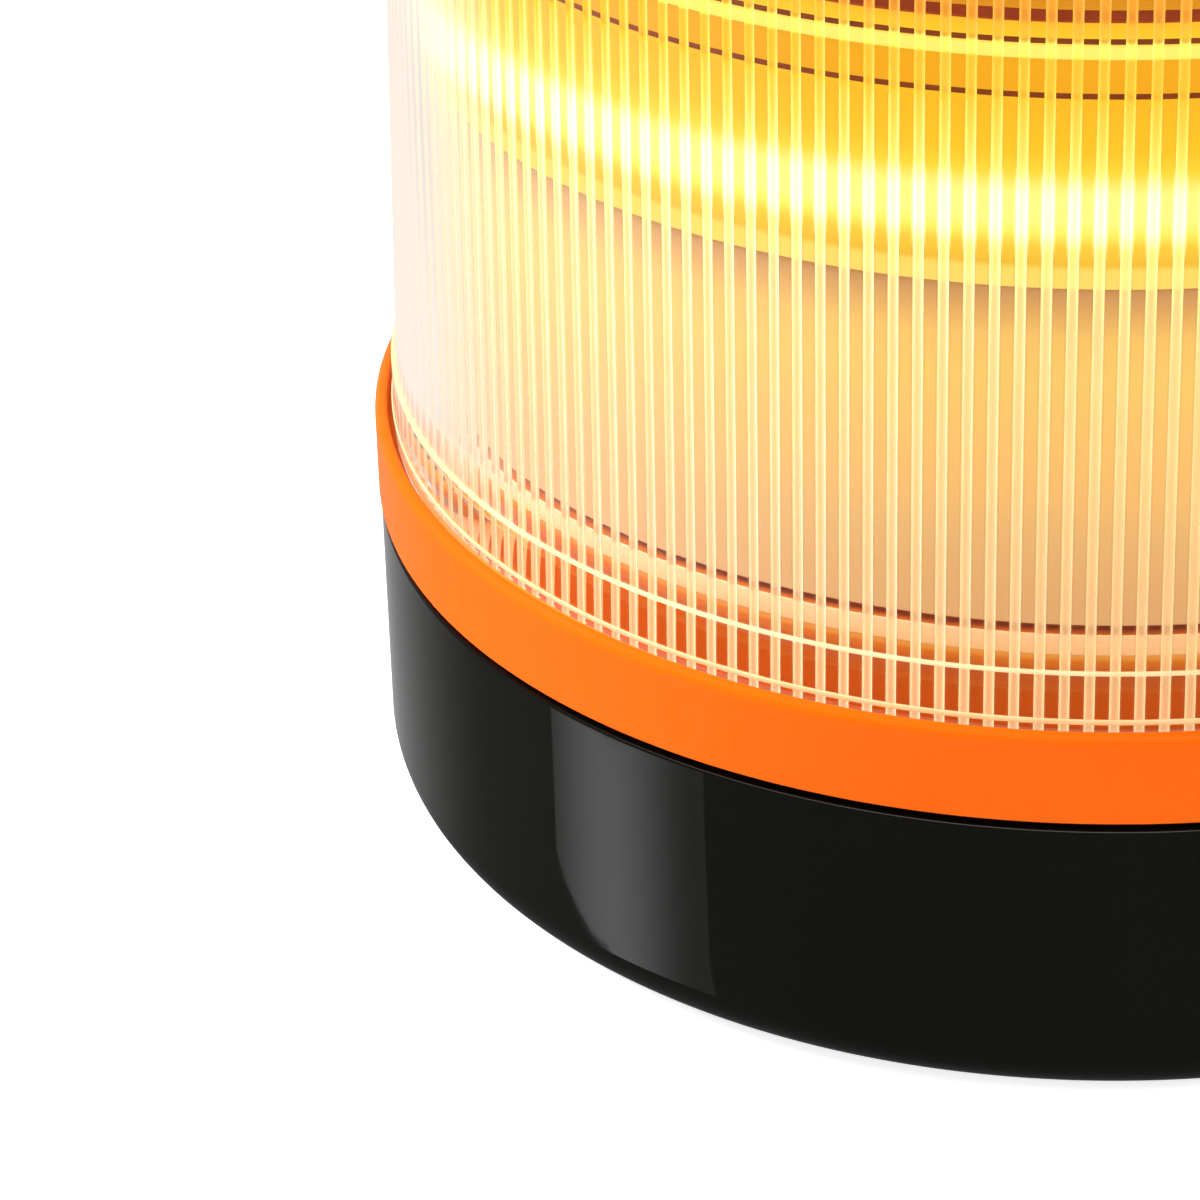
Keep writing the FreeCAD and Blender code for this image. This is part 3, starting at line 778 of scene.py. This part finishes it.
# painted shadow: darker lines on flat faces of the crown, at its foot and above its bead
paintedShadowLine = dict(groovePaintedShade, darker=(0.20, 0.045, 0.002), lighter=(0.27, 0.065, 0.003))
bandLook = {"wall": 1.6 * mm, "edge": 0.2 * mm}
bandGlow = {
    "darker": (0.26, 0.13, 0.012),
    "lighter": (0.31, 0.16, 0.018),
    "cloud": 60.0,
    "rough": 0.5,
    "shine": 0.08,
    "grain": 900.0,
    "depth": 0.002 * mm,
    "glow": 1.0,
    "stops": [
        (0.0, (0.85, 0.66, 0.14)),
        (1.0, (0.85, 0.64, 0.12)),
        (1.3, (0.70, 0.44, 0.025)),
        (2.2, (0.78, 0.53, 0.035)),
        (2.9, (0.95, 0.82, 0.12)),
        (3.5, (0.95, 0.88, 0.24)),
        (4.9, (0.95, 0.88, 0.24)),
        (5.9, (0.86, 0.62, 0.03)),
        (7.0, (0.82, 0.49, 0.004)),
        (9.6, (0.78, 0.42, 0.0)),
    ],
}
crownLook = {
    "wall": 1.6 * mm,
    "relief": 0.2 * mm,
    "lower": 2.0 * mm,
    "bead": 0.7 * mm,
    "gap": 1.05 * mm,
    "groove": 0.6 * mm,
    "grooveDepth": 0.7 * mm,
    "edge": 0.1 * mm,
    "shadowLine": 0.28 * mm,
}
# painted light of the band on the crown, with a painted highlight on its bead
crownGlow = {
    "darker": (0.34, 0.13, 0.006),
    "lighter": (0.40, 0.16, 0.010),
    "cloud": 60.0,
    "rough": 0.5,
    "shine": 0.08,
    "grain": 900.0,
    "depth": 0.002 * mm,
    "glow": 1.0,
    "stops": [
        (9.6, (0.62, 0.32, 0.0)),
        (11.55, (0.66, 0.35, 0.0)),
        (11.65, (0.95, 0.86, 0.16)),
        (12.25, (0.95, 0.86, 0.16)),
        (12.35, (0.86, 0.58, 0.015)),
        (13.3, (0.80, 0.48, 0.01)),
        (14.1, (0.50, 0.22, 0.0)),
        (20.0, (0.35, 0.10, 0.0)),
    ],
}


def makeDrum(grooveFinish):
    radius = radiusOf("lower_reflector")
    bottom = bottomOf("lower_reflector")
    top = topOf("lower_reflector")
    bore = radius - drumLook["wall"]
    face = radius - drumLook["relief"]
    deep = radius - drumLook["grooveDepth"]
    grooveBottom = bottom + drumLook["flange"]
    grooveTop = grooveBottom + drumLook["groove"]
    path = [
        (bore, bottom),
        (radius, bottom),
        (radius, grooveBottom),
        (deep, grooveBottom),
        (deep, grooveTop),
        (face, grooveTop),
        (face, top),
        (bore, top),
    ]
    drum = turnPiece("whiteDrum", path)
    softEdges = [(radius, grooveBottom), (face, grooveTop), (radius, bottom)]
    roundRings(drum, softEdges, drumLook["edge"], fineSteps)
    smoothPiece(drum)
    dressPiece(drum, "housing", "lower_reflector", glowFinish("drumWhite", drumGlow))
    outside = (bore + offBore, radius + mm)
    # painted light on the flange
    paintBetween(drum, glowFinish("flangePaintedLight", flangeGlow), outside, (bottom - mm, grooveBottom - slack))
    # painted shade in the groove
    paintBetween(drum, grooveFinish, outside, (grooveBottom - slack, grooveTop + slack))


def makeBand():
    radius = radiusOf("light_ring")
    bottom = bottomOf("light_ring")
    top = topOf("light_ring")
    bore = radius - bandLook["wall"]
    band = turnPiece("lightBand", [(bore, bottom), (radius, bottom), (radius, top), (bore, top)])
    roundRings(band, [(radius, bottom), (radius, top)], bandLook["edge"], fineSteps)
    smoothPiece(band)
    dressPiece(band, "housing", "light_ring", glowFinish("bandAmber", bandGlow))


def makeCrown(grooveFinish):
    bottom = bottomOf("crown")
    top = topOf("crown")
    radius = radiusOf("crown")
    bore = radius - crownLook["wall"]
    face = radius - crownLook["relief"]
    deep = radius - crownLook["grooveDepth"]
    beadBottom = bottom + crownLook["lower"]
    beadTop = beadBottom + crownLook["bead"]
    grooveBottom = beadTop + crownLook["gap"]
    grooveTop = grooveBottom + crownLook["groove"]
    line = crownLook["shadowLine"]
    path = [
        (bore, bottom),
        (face, bottom),
        (face, bottom + line),
        (face, beadBottom),
        (radius, beadBottom),
        (radius, beadTop),
        (face, beadTop),
        (face, beadTop + line),
        (face, grooveBottom),
        (deep, grooveBottom),
        (deep, grooveTop),
        (face, grooveTop),
        (face, top),
        (bore, top),
    ]
    crown = turnPiece("crownCore", path)
    softEdges = [(radius, beadBottom), (radius, beadTop), (face, grooveBottom), (face, grooveTop)]
    roundRings(crown, softEdges, crownLook["edge"], fineSteps)
    smoothPiece(crown)
    dressPiece(crown, "housing", "crown", glowFinish("crownAmber", crownGlow))
    outside = (bore + offBore, radius + mm)
    # painted shade in the groove
    paintBetween(crown, grooveFinish, outside, (grooveBottom - slack, grooveTop + slack))
    # painted shadow lines at the crown's foot and above its bead
    shadowLineFinish = mouldedFinish("paintedShadowLine", paintedShadowLine)
    paintBetween(crown, shadowLineFinish, outside, (bottom + slack, bottom + line - slack))
    paintBetween(crown, shadowLineFinish, outside, (beadTop + slack, beadTop + line - slack))
    print("drum, band and crown turned")


# top cap and button

capLook = {
    "overlap": 2.0 * mm,  # of the skirt over the top of the lens
    "skirt": 1.6 * mm,
    "coreWall": 1.6 * mm,
    "seal": 0.8 * mm,
    "shoulder": 5.2 * mm,
    "wall": 2.2 * mm,
    "edge": 3.5 * mm,
    "edgeSteps": 12,
    "land": 13.5 * mm,
    "hole": 9.3 * mm,
    "smallEdge": 0.35 * mm,
}
buttonLook = {
    "radius": 9.0 * mm,
    "wall": 1.3 * mm,
    "edge": 0.8 * mm,
    "edgeSteps": 6,
    "dish": 0.45 * mm,
    "ringAt": 6.9 * mm,
    "ringEdge": 0.4 * mm,
    "flange": 1.0 * mm,
    "core": 0.1 * mm,
}
softBlack = {
    "darker": (0.010, 0.010, 0.010),
    "lighter": (0.016, 0.016, 0.015),
    "cloud": 90.0,
    "rough": (0.46, 0.58),
    "shine": 0.4,
    "grain": 2600.0,
    "depth": 0.01 * mm,
}


def makeCap(finish):
    radius = radiusOf("top_cap")
    bottom = topOf("lens") - capLook["overlap"]
    top = topOf("top_cap")
    grooveOuter = radius - capLook["skirt"]
    grooveTop = topOf("lens") + capLook["seal"]
    core = radiusOf("crown")
    bore = core - capLook["coreWall"]
    shoulder = bottom + capLook["shoulder"]
    ceiling = shoulder - capLook["wall"]
    under = top - capLook["wall"]
    path = [
        (capLook["hole"], under),
        (capLook["land"], under),
        (bore, ceiling),
        (bore, bottom),
        (core, bottom),
        (core, grooveTop),
        (grooveOuter, grooveTop),
        (grooveOuter, bottom),
        (radius, bottom),
        (radius, shoulder),
        (capLook["land"], top),
        (capLook["hole"], top),
    ]
    cap = turnPiece("topCap", path)
    roundRings(cap, [(radius, shoulder)], capLook["edge"], capLook["edgeSteps"])
    roundRings(cap, [(radius, bottom), (capLook["hole"], top)], capLook["smallEdge"])
    smoothPiece(cap)
    dressPiece(cap, "housing", "top_cap", finish)


def makeButton():
    top = topOf("power_button")
    bottom = bottomOf("power_button")
    flangeRadius = radiusOf("power_button")
    flangeTop = bottom + buttonLook["flange"]
    radius = buttonLook["radius"]
    inner = radius - buttonLook["wall"]
    ceiling = top - buttonLook["wall"]
    path = [
        (buttonLook["core"], ceiling - buttonLook["dish"]),
        (inner, ceiling - buttonLook["dish"]),
        (inner, bottom),
        (flangeRadius, bottom),
        (flangeRadius, flangeTop),
        (radius, flangeTop),
        (radius, top),
        (buttonLook["ringAt"], top),
        (buttonLook["core"], top - buttonLook["dish"]),
    ]
    button = turnPiece("pressButton", path, smallSegments, solid=True)
    roundRings(button, [(radius, top)], buttonLook["edge"], buttonLook["edgeSteps"])
    roundRings(button, [(buttonLook["ringAt"], top)], buttonLook["ringEdge"])
    smoothPiece(button)
    dressPiece(button, "button", "power_button", mouldedFinish("softBlack", softBlack))
    print("cap and button turned")


# pad, pot, magnet and seal

padLook = {
    "inset": 3.4 * mm,  # from the pot to the pad
    "groove": 0.5 * mm,
    "grooveWidth": 1.0 * mm,
    "grooves": 4,
    "edge": 0.15 * mm,
}
padRubber = {
    "darker": (0.012, 0.012, 0.012),
    "lighter": (0.020, 0.020, 0.020),
    "cloud": 120.0,
    "rough": (0.62, 0.78),
    "shine": 0.35,
    "grain": 3000.0,
    "depth": 0.02 * mm,
}
potSteel = {
    "darker": (0.50, 0.50, 0.49),
    "lighter": (0.66, 0.66, 0.64),
    "marks": 4000.0,
    "rough": (0.22, 0.38),
    "depth": 0.003 * mm,
}
magnetNickel = {
    "darker": (0.58, 0.57, 0.54),
    "lighter": (0.70, 0.69, 0.66),
    "marks": 2500.0,
    "rough": (0.14, 0.24),
    "depth": 0.002 * mm,
}


def makePad():
    outer = radiusOf("grip_pad")
    bottom = bottomOf("grip_pad")
    top = topOf("grip_pad")
    inner = radiusOf("magnet_pot") + padLook["inset"]
    pitch = (outer - inner) / (padLook["grooves"] + 1)
    half = padLook["grooveWidth"] / 2
    deep = bottom + padLook["groove"]
    path = [(inner, top), (inner, bottom)]
    for i in range(padLook["grooves"]):
        middle = inner + pitch * (i + 1)
        groove = [(-half, bottom), (-half, deep), (half, deep), (half, bottom)]
        path += [(middle + aside, height) for aside, height in groove]
    path += [(outer, bottom), (outer, top)]
    pad = turnPiece("gripPad", path)
    roundRings(pad, [(outer, bottom), (inner, bottom)], padLook["edge"], fineSteps)
    smoothPiece(pad)
    dressPiece(pad, "base", "grip_pad", mouldedFinish("padRubber", padRubber))


potLook = {"wall": 1.6 * mm, "hole": 1.6 * mm, "edge": 0.3 * mm}


def makePot():
    radius = radiusOf("magnet_pot")
    face = bottomOf("magnet_pot")
    top = topOf("magnet_pot")
    inner = radius - potLook["wall"]
    ceiling = top - potLook["wall"]
    path = [
        (potLook["hole"], ceiling),
        (inner, ceiling),
        (inner, face),
        (radius, face),
        (radius, top),
        (potLook["hole"], top),
    ]
    pot = turnPiece("magnetPot", path, smallSegments)
    roundRings(pot, [(radius, face), (inner, face)], potLook["edge"], fineSteps)
    smoothPiece(pot)
    dressPiece(pot, "base", "magnet_pot", platedFinish("potSteel", potSteel))


magnetLook = {"bore": 4.6 * mm, "edge": 0.25 * mm}


def makeMagnet():
    radius = radiusOf("ring_magnet")
    face = bottomOf("ring_magnet")
    top = topOf("ring_magnet")
    bore = magnetLook["bore"]
    path = [(bore, top), (bore, face), (radius, face), (radius, top)]
    magnet = turnPiece("ringMagnet", path, smallSegments)
    roundRings(magnet, [(radius, face), (bore, face)], magnetLook["edge"], fineSteps)
    smoothPiece(magnet)
    dressPiece(magnet, "base", "ring_magnet", platedFinish("magnetNickel", magnetNickel))
    print("pad, pot and magnet turned")


# finishes of the pieces that keep their CAD shape

innerFinishes = {
    "sealBlack": (("base_seal", "cap_seal"), "moulded", {
        "darker": (0.008, 0.006, 0.006), "lighter": (0.014, 0.011, 0.011), "cloud": 200.0,
        "rough": (0.5, 0.7), "shine": 0.3, "grain": 3000.0, "depth": 0.004 * mm}),
    # painted glow on the lens seal, for light that comes through the clear wall
    "sealPaintedGlow": (("lens_seal",), "glowing", {
        "darker": (0.74, 0.20, 0.02), "lighter": (0.82, 0.25, 0.03), "cloud": 200.0,
        "rough": 0.5, "shine": 0.2, "grain": 3000.0, "depth": 0.004 * mm, "glow": 1.0,
        "stops": [(-24.5, (0.34, 0.10, 0.0)), (-23.0, (0.40, 0.13, 0.0))]}),
    "trayBlack": (("battery_tray", "board_parts"), "moulded", {
        "darker": (0.014, 0.014, 0.014), "lighter": (0.024, 0.024, 0.024), "cloud": 150.0,
        "rough": (0.45, 0.6), "shine": 0.4, "grain": 2500.0, "depth": 0.006 * mm}),
    "boardGreen": (("main_board", "switch_board"), "moulded", {
        "darker": (0.012, 0.11, 0.04), "lighter": (0.022, 0.18, 0.07), "cloud": 400.0,
        "rough": (0.3, 0.45), "shine": 0.5, "grain": 2500.0, "depth": 0.003 * mm}),
    "coreWhite": (("led_hub", "led_strip"), "moulded", {
        "darker": (0.76, 0.72, 0.64), "lighter": (0.84, 0.80, 0.72), "cloud": 120.0,
        "rough": (0.4, 0.55), "shine": 0.5, "grain": 2500.0, "depth": 0.003 * mm}),
    "ledAmber": (("leds",), "moulded", {
        "darker": (0.80, 0.44, 0.05), "lighter": (0.92, 0.56, 0.08), "cloud": 300.0,
        "rough": (0.2, 0.3), "shine": 0.5, "grain": 2500.0, "depth": 0.002 * mm}),
    "switchGrey": (("switch_body", "switch_plunger", "wire_harness"), "moulded", {
        "darker": (0.10, 0.10, 0.11), "lighter": (0.16, 0.16, 0.17), "cloud": 200.0,
        "rough": (0.4, 0.55), "shine": 0.45, "grain": 2500.0, "depth": 0.004 * mm}),
    "cellWrap": (("battery_cells",), "plated", {
        "darker": (0.36, 0.28, 0.10), "lighter": (0.46, 0.37, 0.14), "marks": 900.0,
        "rough": (0.25, 0.4), "depth": 0.001 * mm}),
    "zincPlate": (("magnet_screw", "tray_screws", "board_screws", "tie_screws", "switch_screws",
                   "contact_plates", "contact_leaves"), "plated", {
        "darker": (0.50, 0.50, 0.50), "lighter": (0.64, 0.64, 0.63), "marks": 3000.0,
        "rough": (0.25, 0.4), "depth": 0.002 * mm}),
}


def dressInnerNodes():
    makers = {"moulded": mouldedFinish, "plated": platedFinish, "glowing": glowFinish}
    for name, (members, kind, look) in innerFinishes.items():
        finish = makers[kind](name, look)
        for member in members:
            nodes[member].data.materials.clear()
            nodes[member].data.materials.append(finish)
    print("inner pieces dressed")


# floor, light and camera

floorLook = {"size": 6.0, "gap": 0.02 * mm, "albedo": (0.86, 0.86, 0.85), "rough": 0.7, "lift": 0.8}
worldLook = {
    "soft": 0.48,
    "dark": 0.12,
    "shade": 0.3,
    "white": 1.0,
    "behind": 0.45,
    "back": (0.3, 0.88),  # along Y the gloss sees dark turn to pale between these
    "low": (-0.62, -0.52),  # along Z the pale begins between these
    "high": (0.7, 0.85),  # and the overhead light between these
    "overhead": 4.0,
    "plain": (1.0, 1.0, 0.99),
    "warm": (1.0, 0.93, 0.82),
    "side": (-0.6, 0.8, 0.0),  # clear plastic sees white on this side and a warm shade on the other
    "sideFade": (-0.45, 0.45),
}
lampLook = {
    "key": {"place": (-1.06, 0.28, 0.75), "size": 0.7, "power": 27.0},
    "fill": {"place": (0.35, -0.75, 1.15), "size": 0.8, "power": 9.0},
}
lampAim = (0, 0, 30 * mm)
softboxLook = {
    "away": 0.70,
    "azimuth": 194.0,
    "top": -0.386,
    "wide": 0.392,
    "high": 0.058,
    "tall": 1.08,  # height at which the corner is rounded, before the card is squeezed
    "corner": 0.14,
    "cornerSteps": 10,
    "level": 2 * mm,  # points this close in height are picked together
    "edgeShare": 0.45,  # points past this share of the width lie on an edge
    "steps": 8,  # parts of the right edge, whose lowest points make these moves
    "flares": ((0.09, -0.046), (0.026, -0.0395), (0.006, -0.0315)),
    "hotSide": -0.03,
    "fade": 0.2,
    "bright": 2.0,
    "dim": 0.4,
}
cameraLook = {
    "back": 247.3 * mm,
    "aboveSeam": 130.4 * mm,
    "yaw": -6.36,
    "pitch": 29.51,
    "roll": 1.82,
    "lens": 150.0,
    "sensor": 36.0,
    "nearest": 10 * mm,
}


def makeFloor():
    clearSelection()
    under = bottomOf("grip_pad") - floorLook["gap"]
    bpy.ops.mesh.primitive_plane_add(size=floorLook["size"], location=(0, 0, under))
    floor = bpy.context.object
    floor.name = "paleFloor"
    finish, tree, shader = newFinish("floorPale")
    setInputs(shader, {"Base Color": (*floorLook["albedo"], 1), "Roughness": floorLook["rough"]})
    setInputs(shader, {"Specular IOR Level": 0.0, "Emission Color": (1, 1, 1, 1)})
    seen = addNode(tree, "ShaderNodeLightPath")
    lift = addNode(tree, "ShaderNodeMath", operation="MULTIPLY")
    lift.inputs[1].default_value = floorLook["lift"]
    tree.links.new(seen.outputs["Is Camera Ray"], lift.inputs[0])
    tree.links.new(lift.outputs[0], shader.inputs["Emission Strength"])
    floor.visible_glossy = False  # gloss and clear plastic show the studio round the object
    floor.visible_transmission = False
    floor.data.materials.append(finish)


def backLight(tree, level, tint=worldLook["plain"]):
    light = addNode(tree, "ShaderNodeBackground")
    setInputs(light, {"Color": (*tint, 1), "Strength": level})
    return light.outputs[0]


def fadeBetween(tree, source, ends):
    fade = addNode(tree, "ShaderNodeMapRange", interpolation_type="SMOOTHSTEP")
    setInputs(fade, {"From Min": ends[0], "From Max": ends[1]})
    tree.links.new(source, fade.inputs["Value"])
    return fade.outputs[0]


def makeWorld():
    world = bpy.data.worlds.new("studio")
    bpy.context.scene.world = world
    world.use_nodes = True
    tree = world.node_tree
    tree.nodes.clear()
    ray = addNode(tree, "ShaderNodeLightPath")
    apart = addNode(tree, "ShaderNodeSeparateXYZ")
    sky = addNode(tree, "ShaderNodeTexCoord").outputs["Generated"]
    tree.links.new(sky, apart.inputs[0])
    behind = fadeBetween(tree, apart.outputs["Y"], worldLook["back"])
    above = fadeBetween(tree, apart.outputs["Z"], worldLook["low"])
    both = addNode(tree, "ShaderNodeMath", operation="MULTIPLY")
    tree.links.new(behind, both.inputs[0])
    tree.links.new(above, both.inputs[1])
    across = addNode(tree, "ShaderNodeVectorMath", operation="DOT_PRODUCT")
    across.inputs[1].default_value = worldLook["side"]
    tree.links.new(sky, across.inputs[0])
    beside = fadeBetween(tree, across.outputs["Value"], worldLook["sideFade"])
    white = backLight(tree, worldLook["white"])
    pale = backLight(tree, worldLook["behind"])
    mirrored = mixShaders(tree, both.outputs[0], backLight(tree, worldLook["dark"]), pale)
    overhead = fadeBetween(tree, apart.outputs["Z"], worldLook["high"])
    mirrored = mixShaders(tree, overhead, mirrored, backLight(tree, worldLook["overhead"]))
    refracted = mixShaders(tree, beside, backLight(tree, worldLook["shade"], worldLook["warm"]), white)
    lit = mixShaders(tree, ray.outputs["Is Glossy Ray"], backLight(tree, worldLook["soft"]), mirrored)
    through = mixShaders(tree, ray.outputs["Is Transmission Ray"], lit, refracted)
    shown = mixShaders(tree, ray.outputs["Is Camera Ray"], through, white)
    out = addNode(tree, "ShaderNodeOutputWorld")
    tree.links.new(shown, out.inputs["Surface"])


def aimAt(thing, target):
    away = Vector(thing.location) - Vector(target)
    thing.rotation_euler = away.to_track_quat("Z", "Y").to_euler()


def makeLamps():
    for name, look in lampLook.items():
        bpy.ops.object.light_add(type="AREA", location=look["place"])
        lamp = bpy.context.object
        lamp.name = name + "Lamp"
        lamp.data.size = look["size"]
        lamp.data.energy = look["power"]
        lamp.visible_glossy = False
        lamp.visible_transmission = False
        aimAt(lamp, lampAim)


def pickCorners(card, side, height=None):  # points of the left or right edge, at one height or all
    for part in card.data.polygons:
        part.select = False
    for vertex in card.data.vertices:
        level = height is None or abs(vertex.co.y - height) < softboxLook["level"]
        vertex.select = level and vertex.co.x * side > softboxLook["wide"] * softboxLook["edgeShare"]
    for edge in card.data.edges:
        edge.select = all(card.data.vertices[i].select for i in edge.vertices)


def makeSoftbox():  # glowing card, seen only in the gloss of the base
    clearSelection()
    bpy.ops.mesh.primitive_plane_add(size=1)
    card = bpy.context.object
    card.name = "leftSoftbox"
    editPiece(card)
    bpy.ops.mesh.select_all(action="SELECT")
    bpy.ops.transform.resize(value=(softboxLook["wide"], softboxLook["tall"], 1))
    leaveEdit()
    pickCorners(card, -1, -softboxLook["tall"] / 2)
    editPiece(card)
    bpy.ops.mesh.bevel(offset=softboxLook["corner"], segments=softboxLook["cornerSteps"], affect="VERTICES")
    bpy.ops.mesh.select_all(action="SELECT")
    squeeze = softboxLook["high"] / softboxLook["tall"]
    bpy.ops.transform.resize(value=(1, squeeze, 1), center_override=(0, 0, 0))
    leaveEdit()
    pickCorners(card, 1)
    editPiece(card)
    bpy.ops.mesh.subdivide(number_cuts=softboxLook["steps"] - 1)
    leaveEdit()
    for i, (aside, down) in enumerate(softboxLook["flares"]):
        pickCorners(card, 1, (i / softboxLook["steps"] - 0.5) * softboxLook["high"])
        editPiece(card)
        bpy.ops.transform.translate(value=(aside, down, 0))
        leaveEdit()
    azimuth = math.radians(softboxLook["azimuth"])
    middle = softboxLook["top"] - softboxLook["high"] / 2
    outward = Vector((math.cos(azimuth), math.sin(azimuth), 0))
    sideways = Vector((-math.sin(azimuth), math.cos(azimuth), 0))
    place = outward * softboxLook["away"] + Vector((0, 0, middle))
    card.location = place
    aimAt(card, (0, 0, middle))
    pickOnly(card)
    bpy.ops.object.transform_apply(location=True, rotation=True, scale=True)
    finish, tree, shader = newFinish("softboxGlow")
    hot = place + softboxLook["hotSide"] * sideways
    off = addNode(tree, "ShaderNodeVectorMath", operation="DISTANCE")
    flat = addNode(tree, "ShaderNodeVectorMath", operation="MULTIPLY")
    flat.inputs[1].default_value = (1, 1, 0)
    tree.links.new(objectPlace(tree), flat.inputs[0])
    tree.links.new(flat.outputs[0], off.inputs[0])
    off.inputs[1].default_value = (hot.x, hot.y, 0)
    fade = addNode(tree, "ShaderNodeMapRange", interpolation_type="SMOOTHSTEP")
    setInputs(fade, {"To Min": softboxLook["bright"], "To Max": softboxLook["dim"]})
    fade.inputs["From Max"].default_value = softboxLook["fade"]
    tree.links.new(off.outputs["Value"], fade.inputs["Value"])
    setInputs(shader, {"Base Color": (0, 0, 0, 1), "Specular IOR Level": 0, "Emission Color": (1, 1, 1, 1)})
    tree.links.new(fade.outputs[0], shader.inputs["Emission Strength"])
    card.data.materials.append(finish)
    card.visible_camera = False
    card.visible_diffuse = False
    card.visible_transmission = False
    card.visible_shadow = False


def makeCamera():
    yaw = math.radians(cameraLook["yaw"])
    pitch = math.radians(cameraLook["pitch"])
    roll = math.radians(cameraLook["roll"])
    ahead = Vector((math.sin(yaw) * math.cos(pitch), math.cos(yaw) * math.cos(pitch), -math.sin(pitch)))
    level = Vector((math.cos(yaw), -math.sin(yaw), 0))
    down = ahead.cross(level)
    right = math.cos(roll) * level + math.sin(roll) * down
    down = math.cos(roll) * down - math.sin(roll) * level
    height = topOf("base_seal") + cameraLook["aboveSeam"]
    bpy.ops.object.camera_add(location=(0, -cameraLook["back"], height))
    camera = bpy.context.object
    turn = Matrix((right, -down, -ahead)).transposed()
    camera.rotation_euler = turn.to_euler()
    camera.data.sensor_width = cameraLook["sensor"]
    camera.data.lens = cameraLook["lens"]
    camera.data.clip_start = cameraLook["nearest"]
    bpy.context.scene.camera = camera
    bpy.context.scene.view_settings.view_transform = "Standard"


orangeFinish = mouldedFinish("orangeGloss", orangeGloss)
makeBase()
makeRing(orangeFinish)
makeLens()
grooveFinish = mouldedFinish("groovePaintedShade", groovePaintedShade)
makeDrum(grooveFinish)
makeBand()
makeCrown(grooveFinish)
makeCap(orangeFinish)
makeButton()
makePad()
makePot()
makeMagnet()
dressInnerNodes()
makeFloor()
makeWorld()
makeLamps()
makeSoftbox()
makeCamera()
print("stage set")

clearSelection()
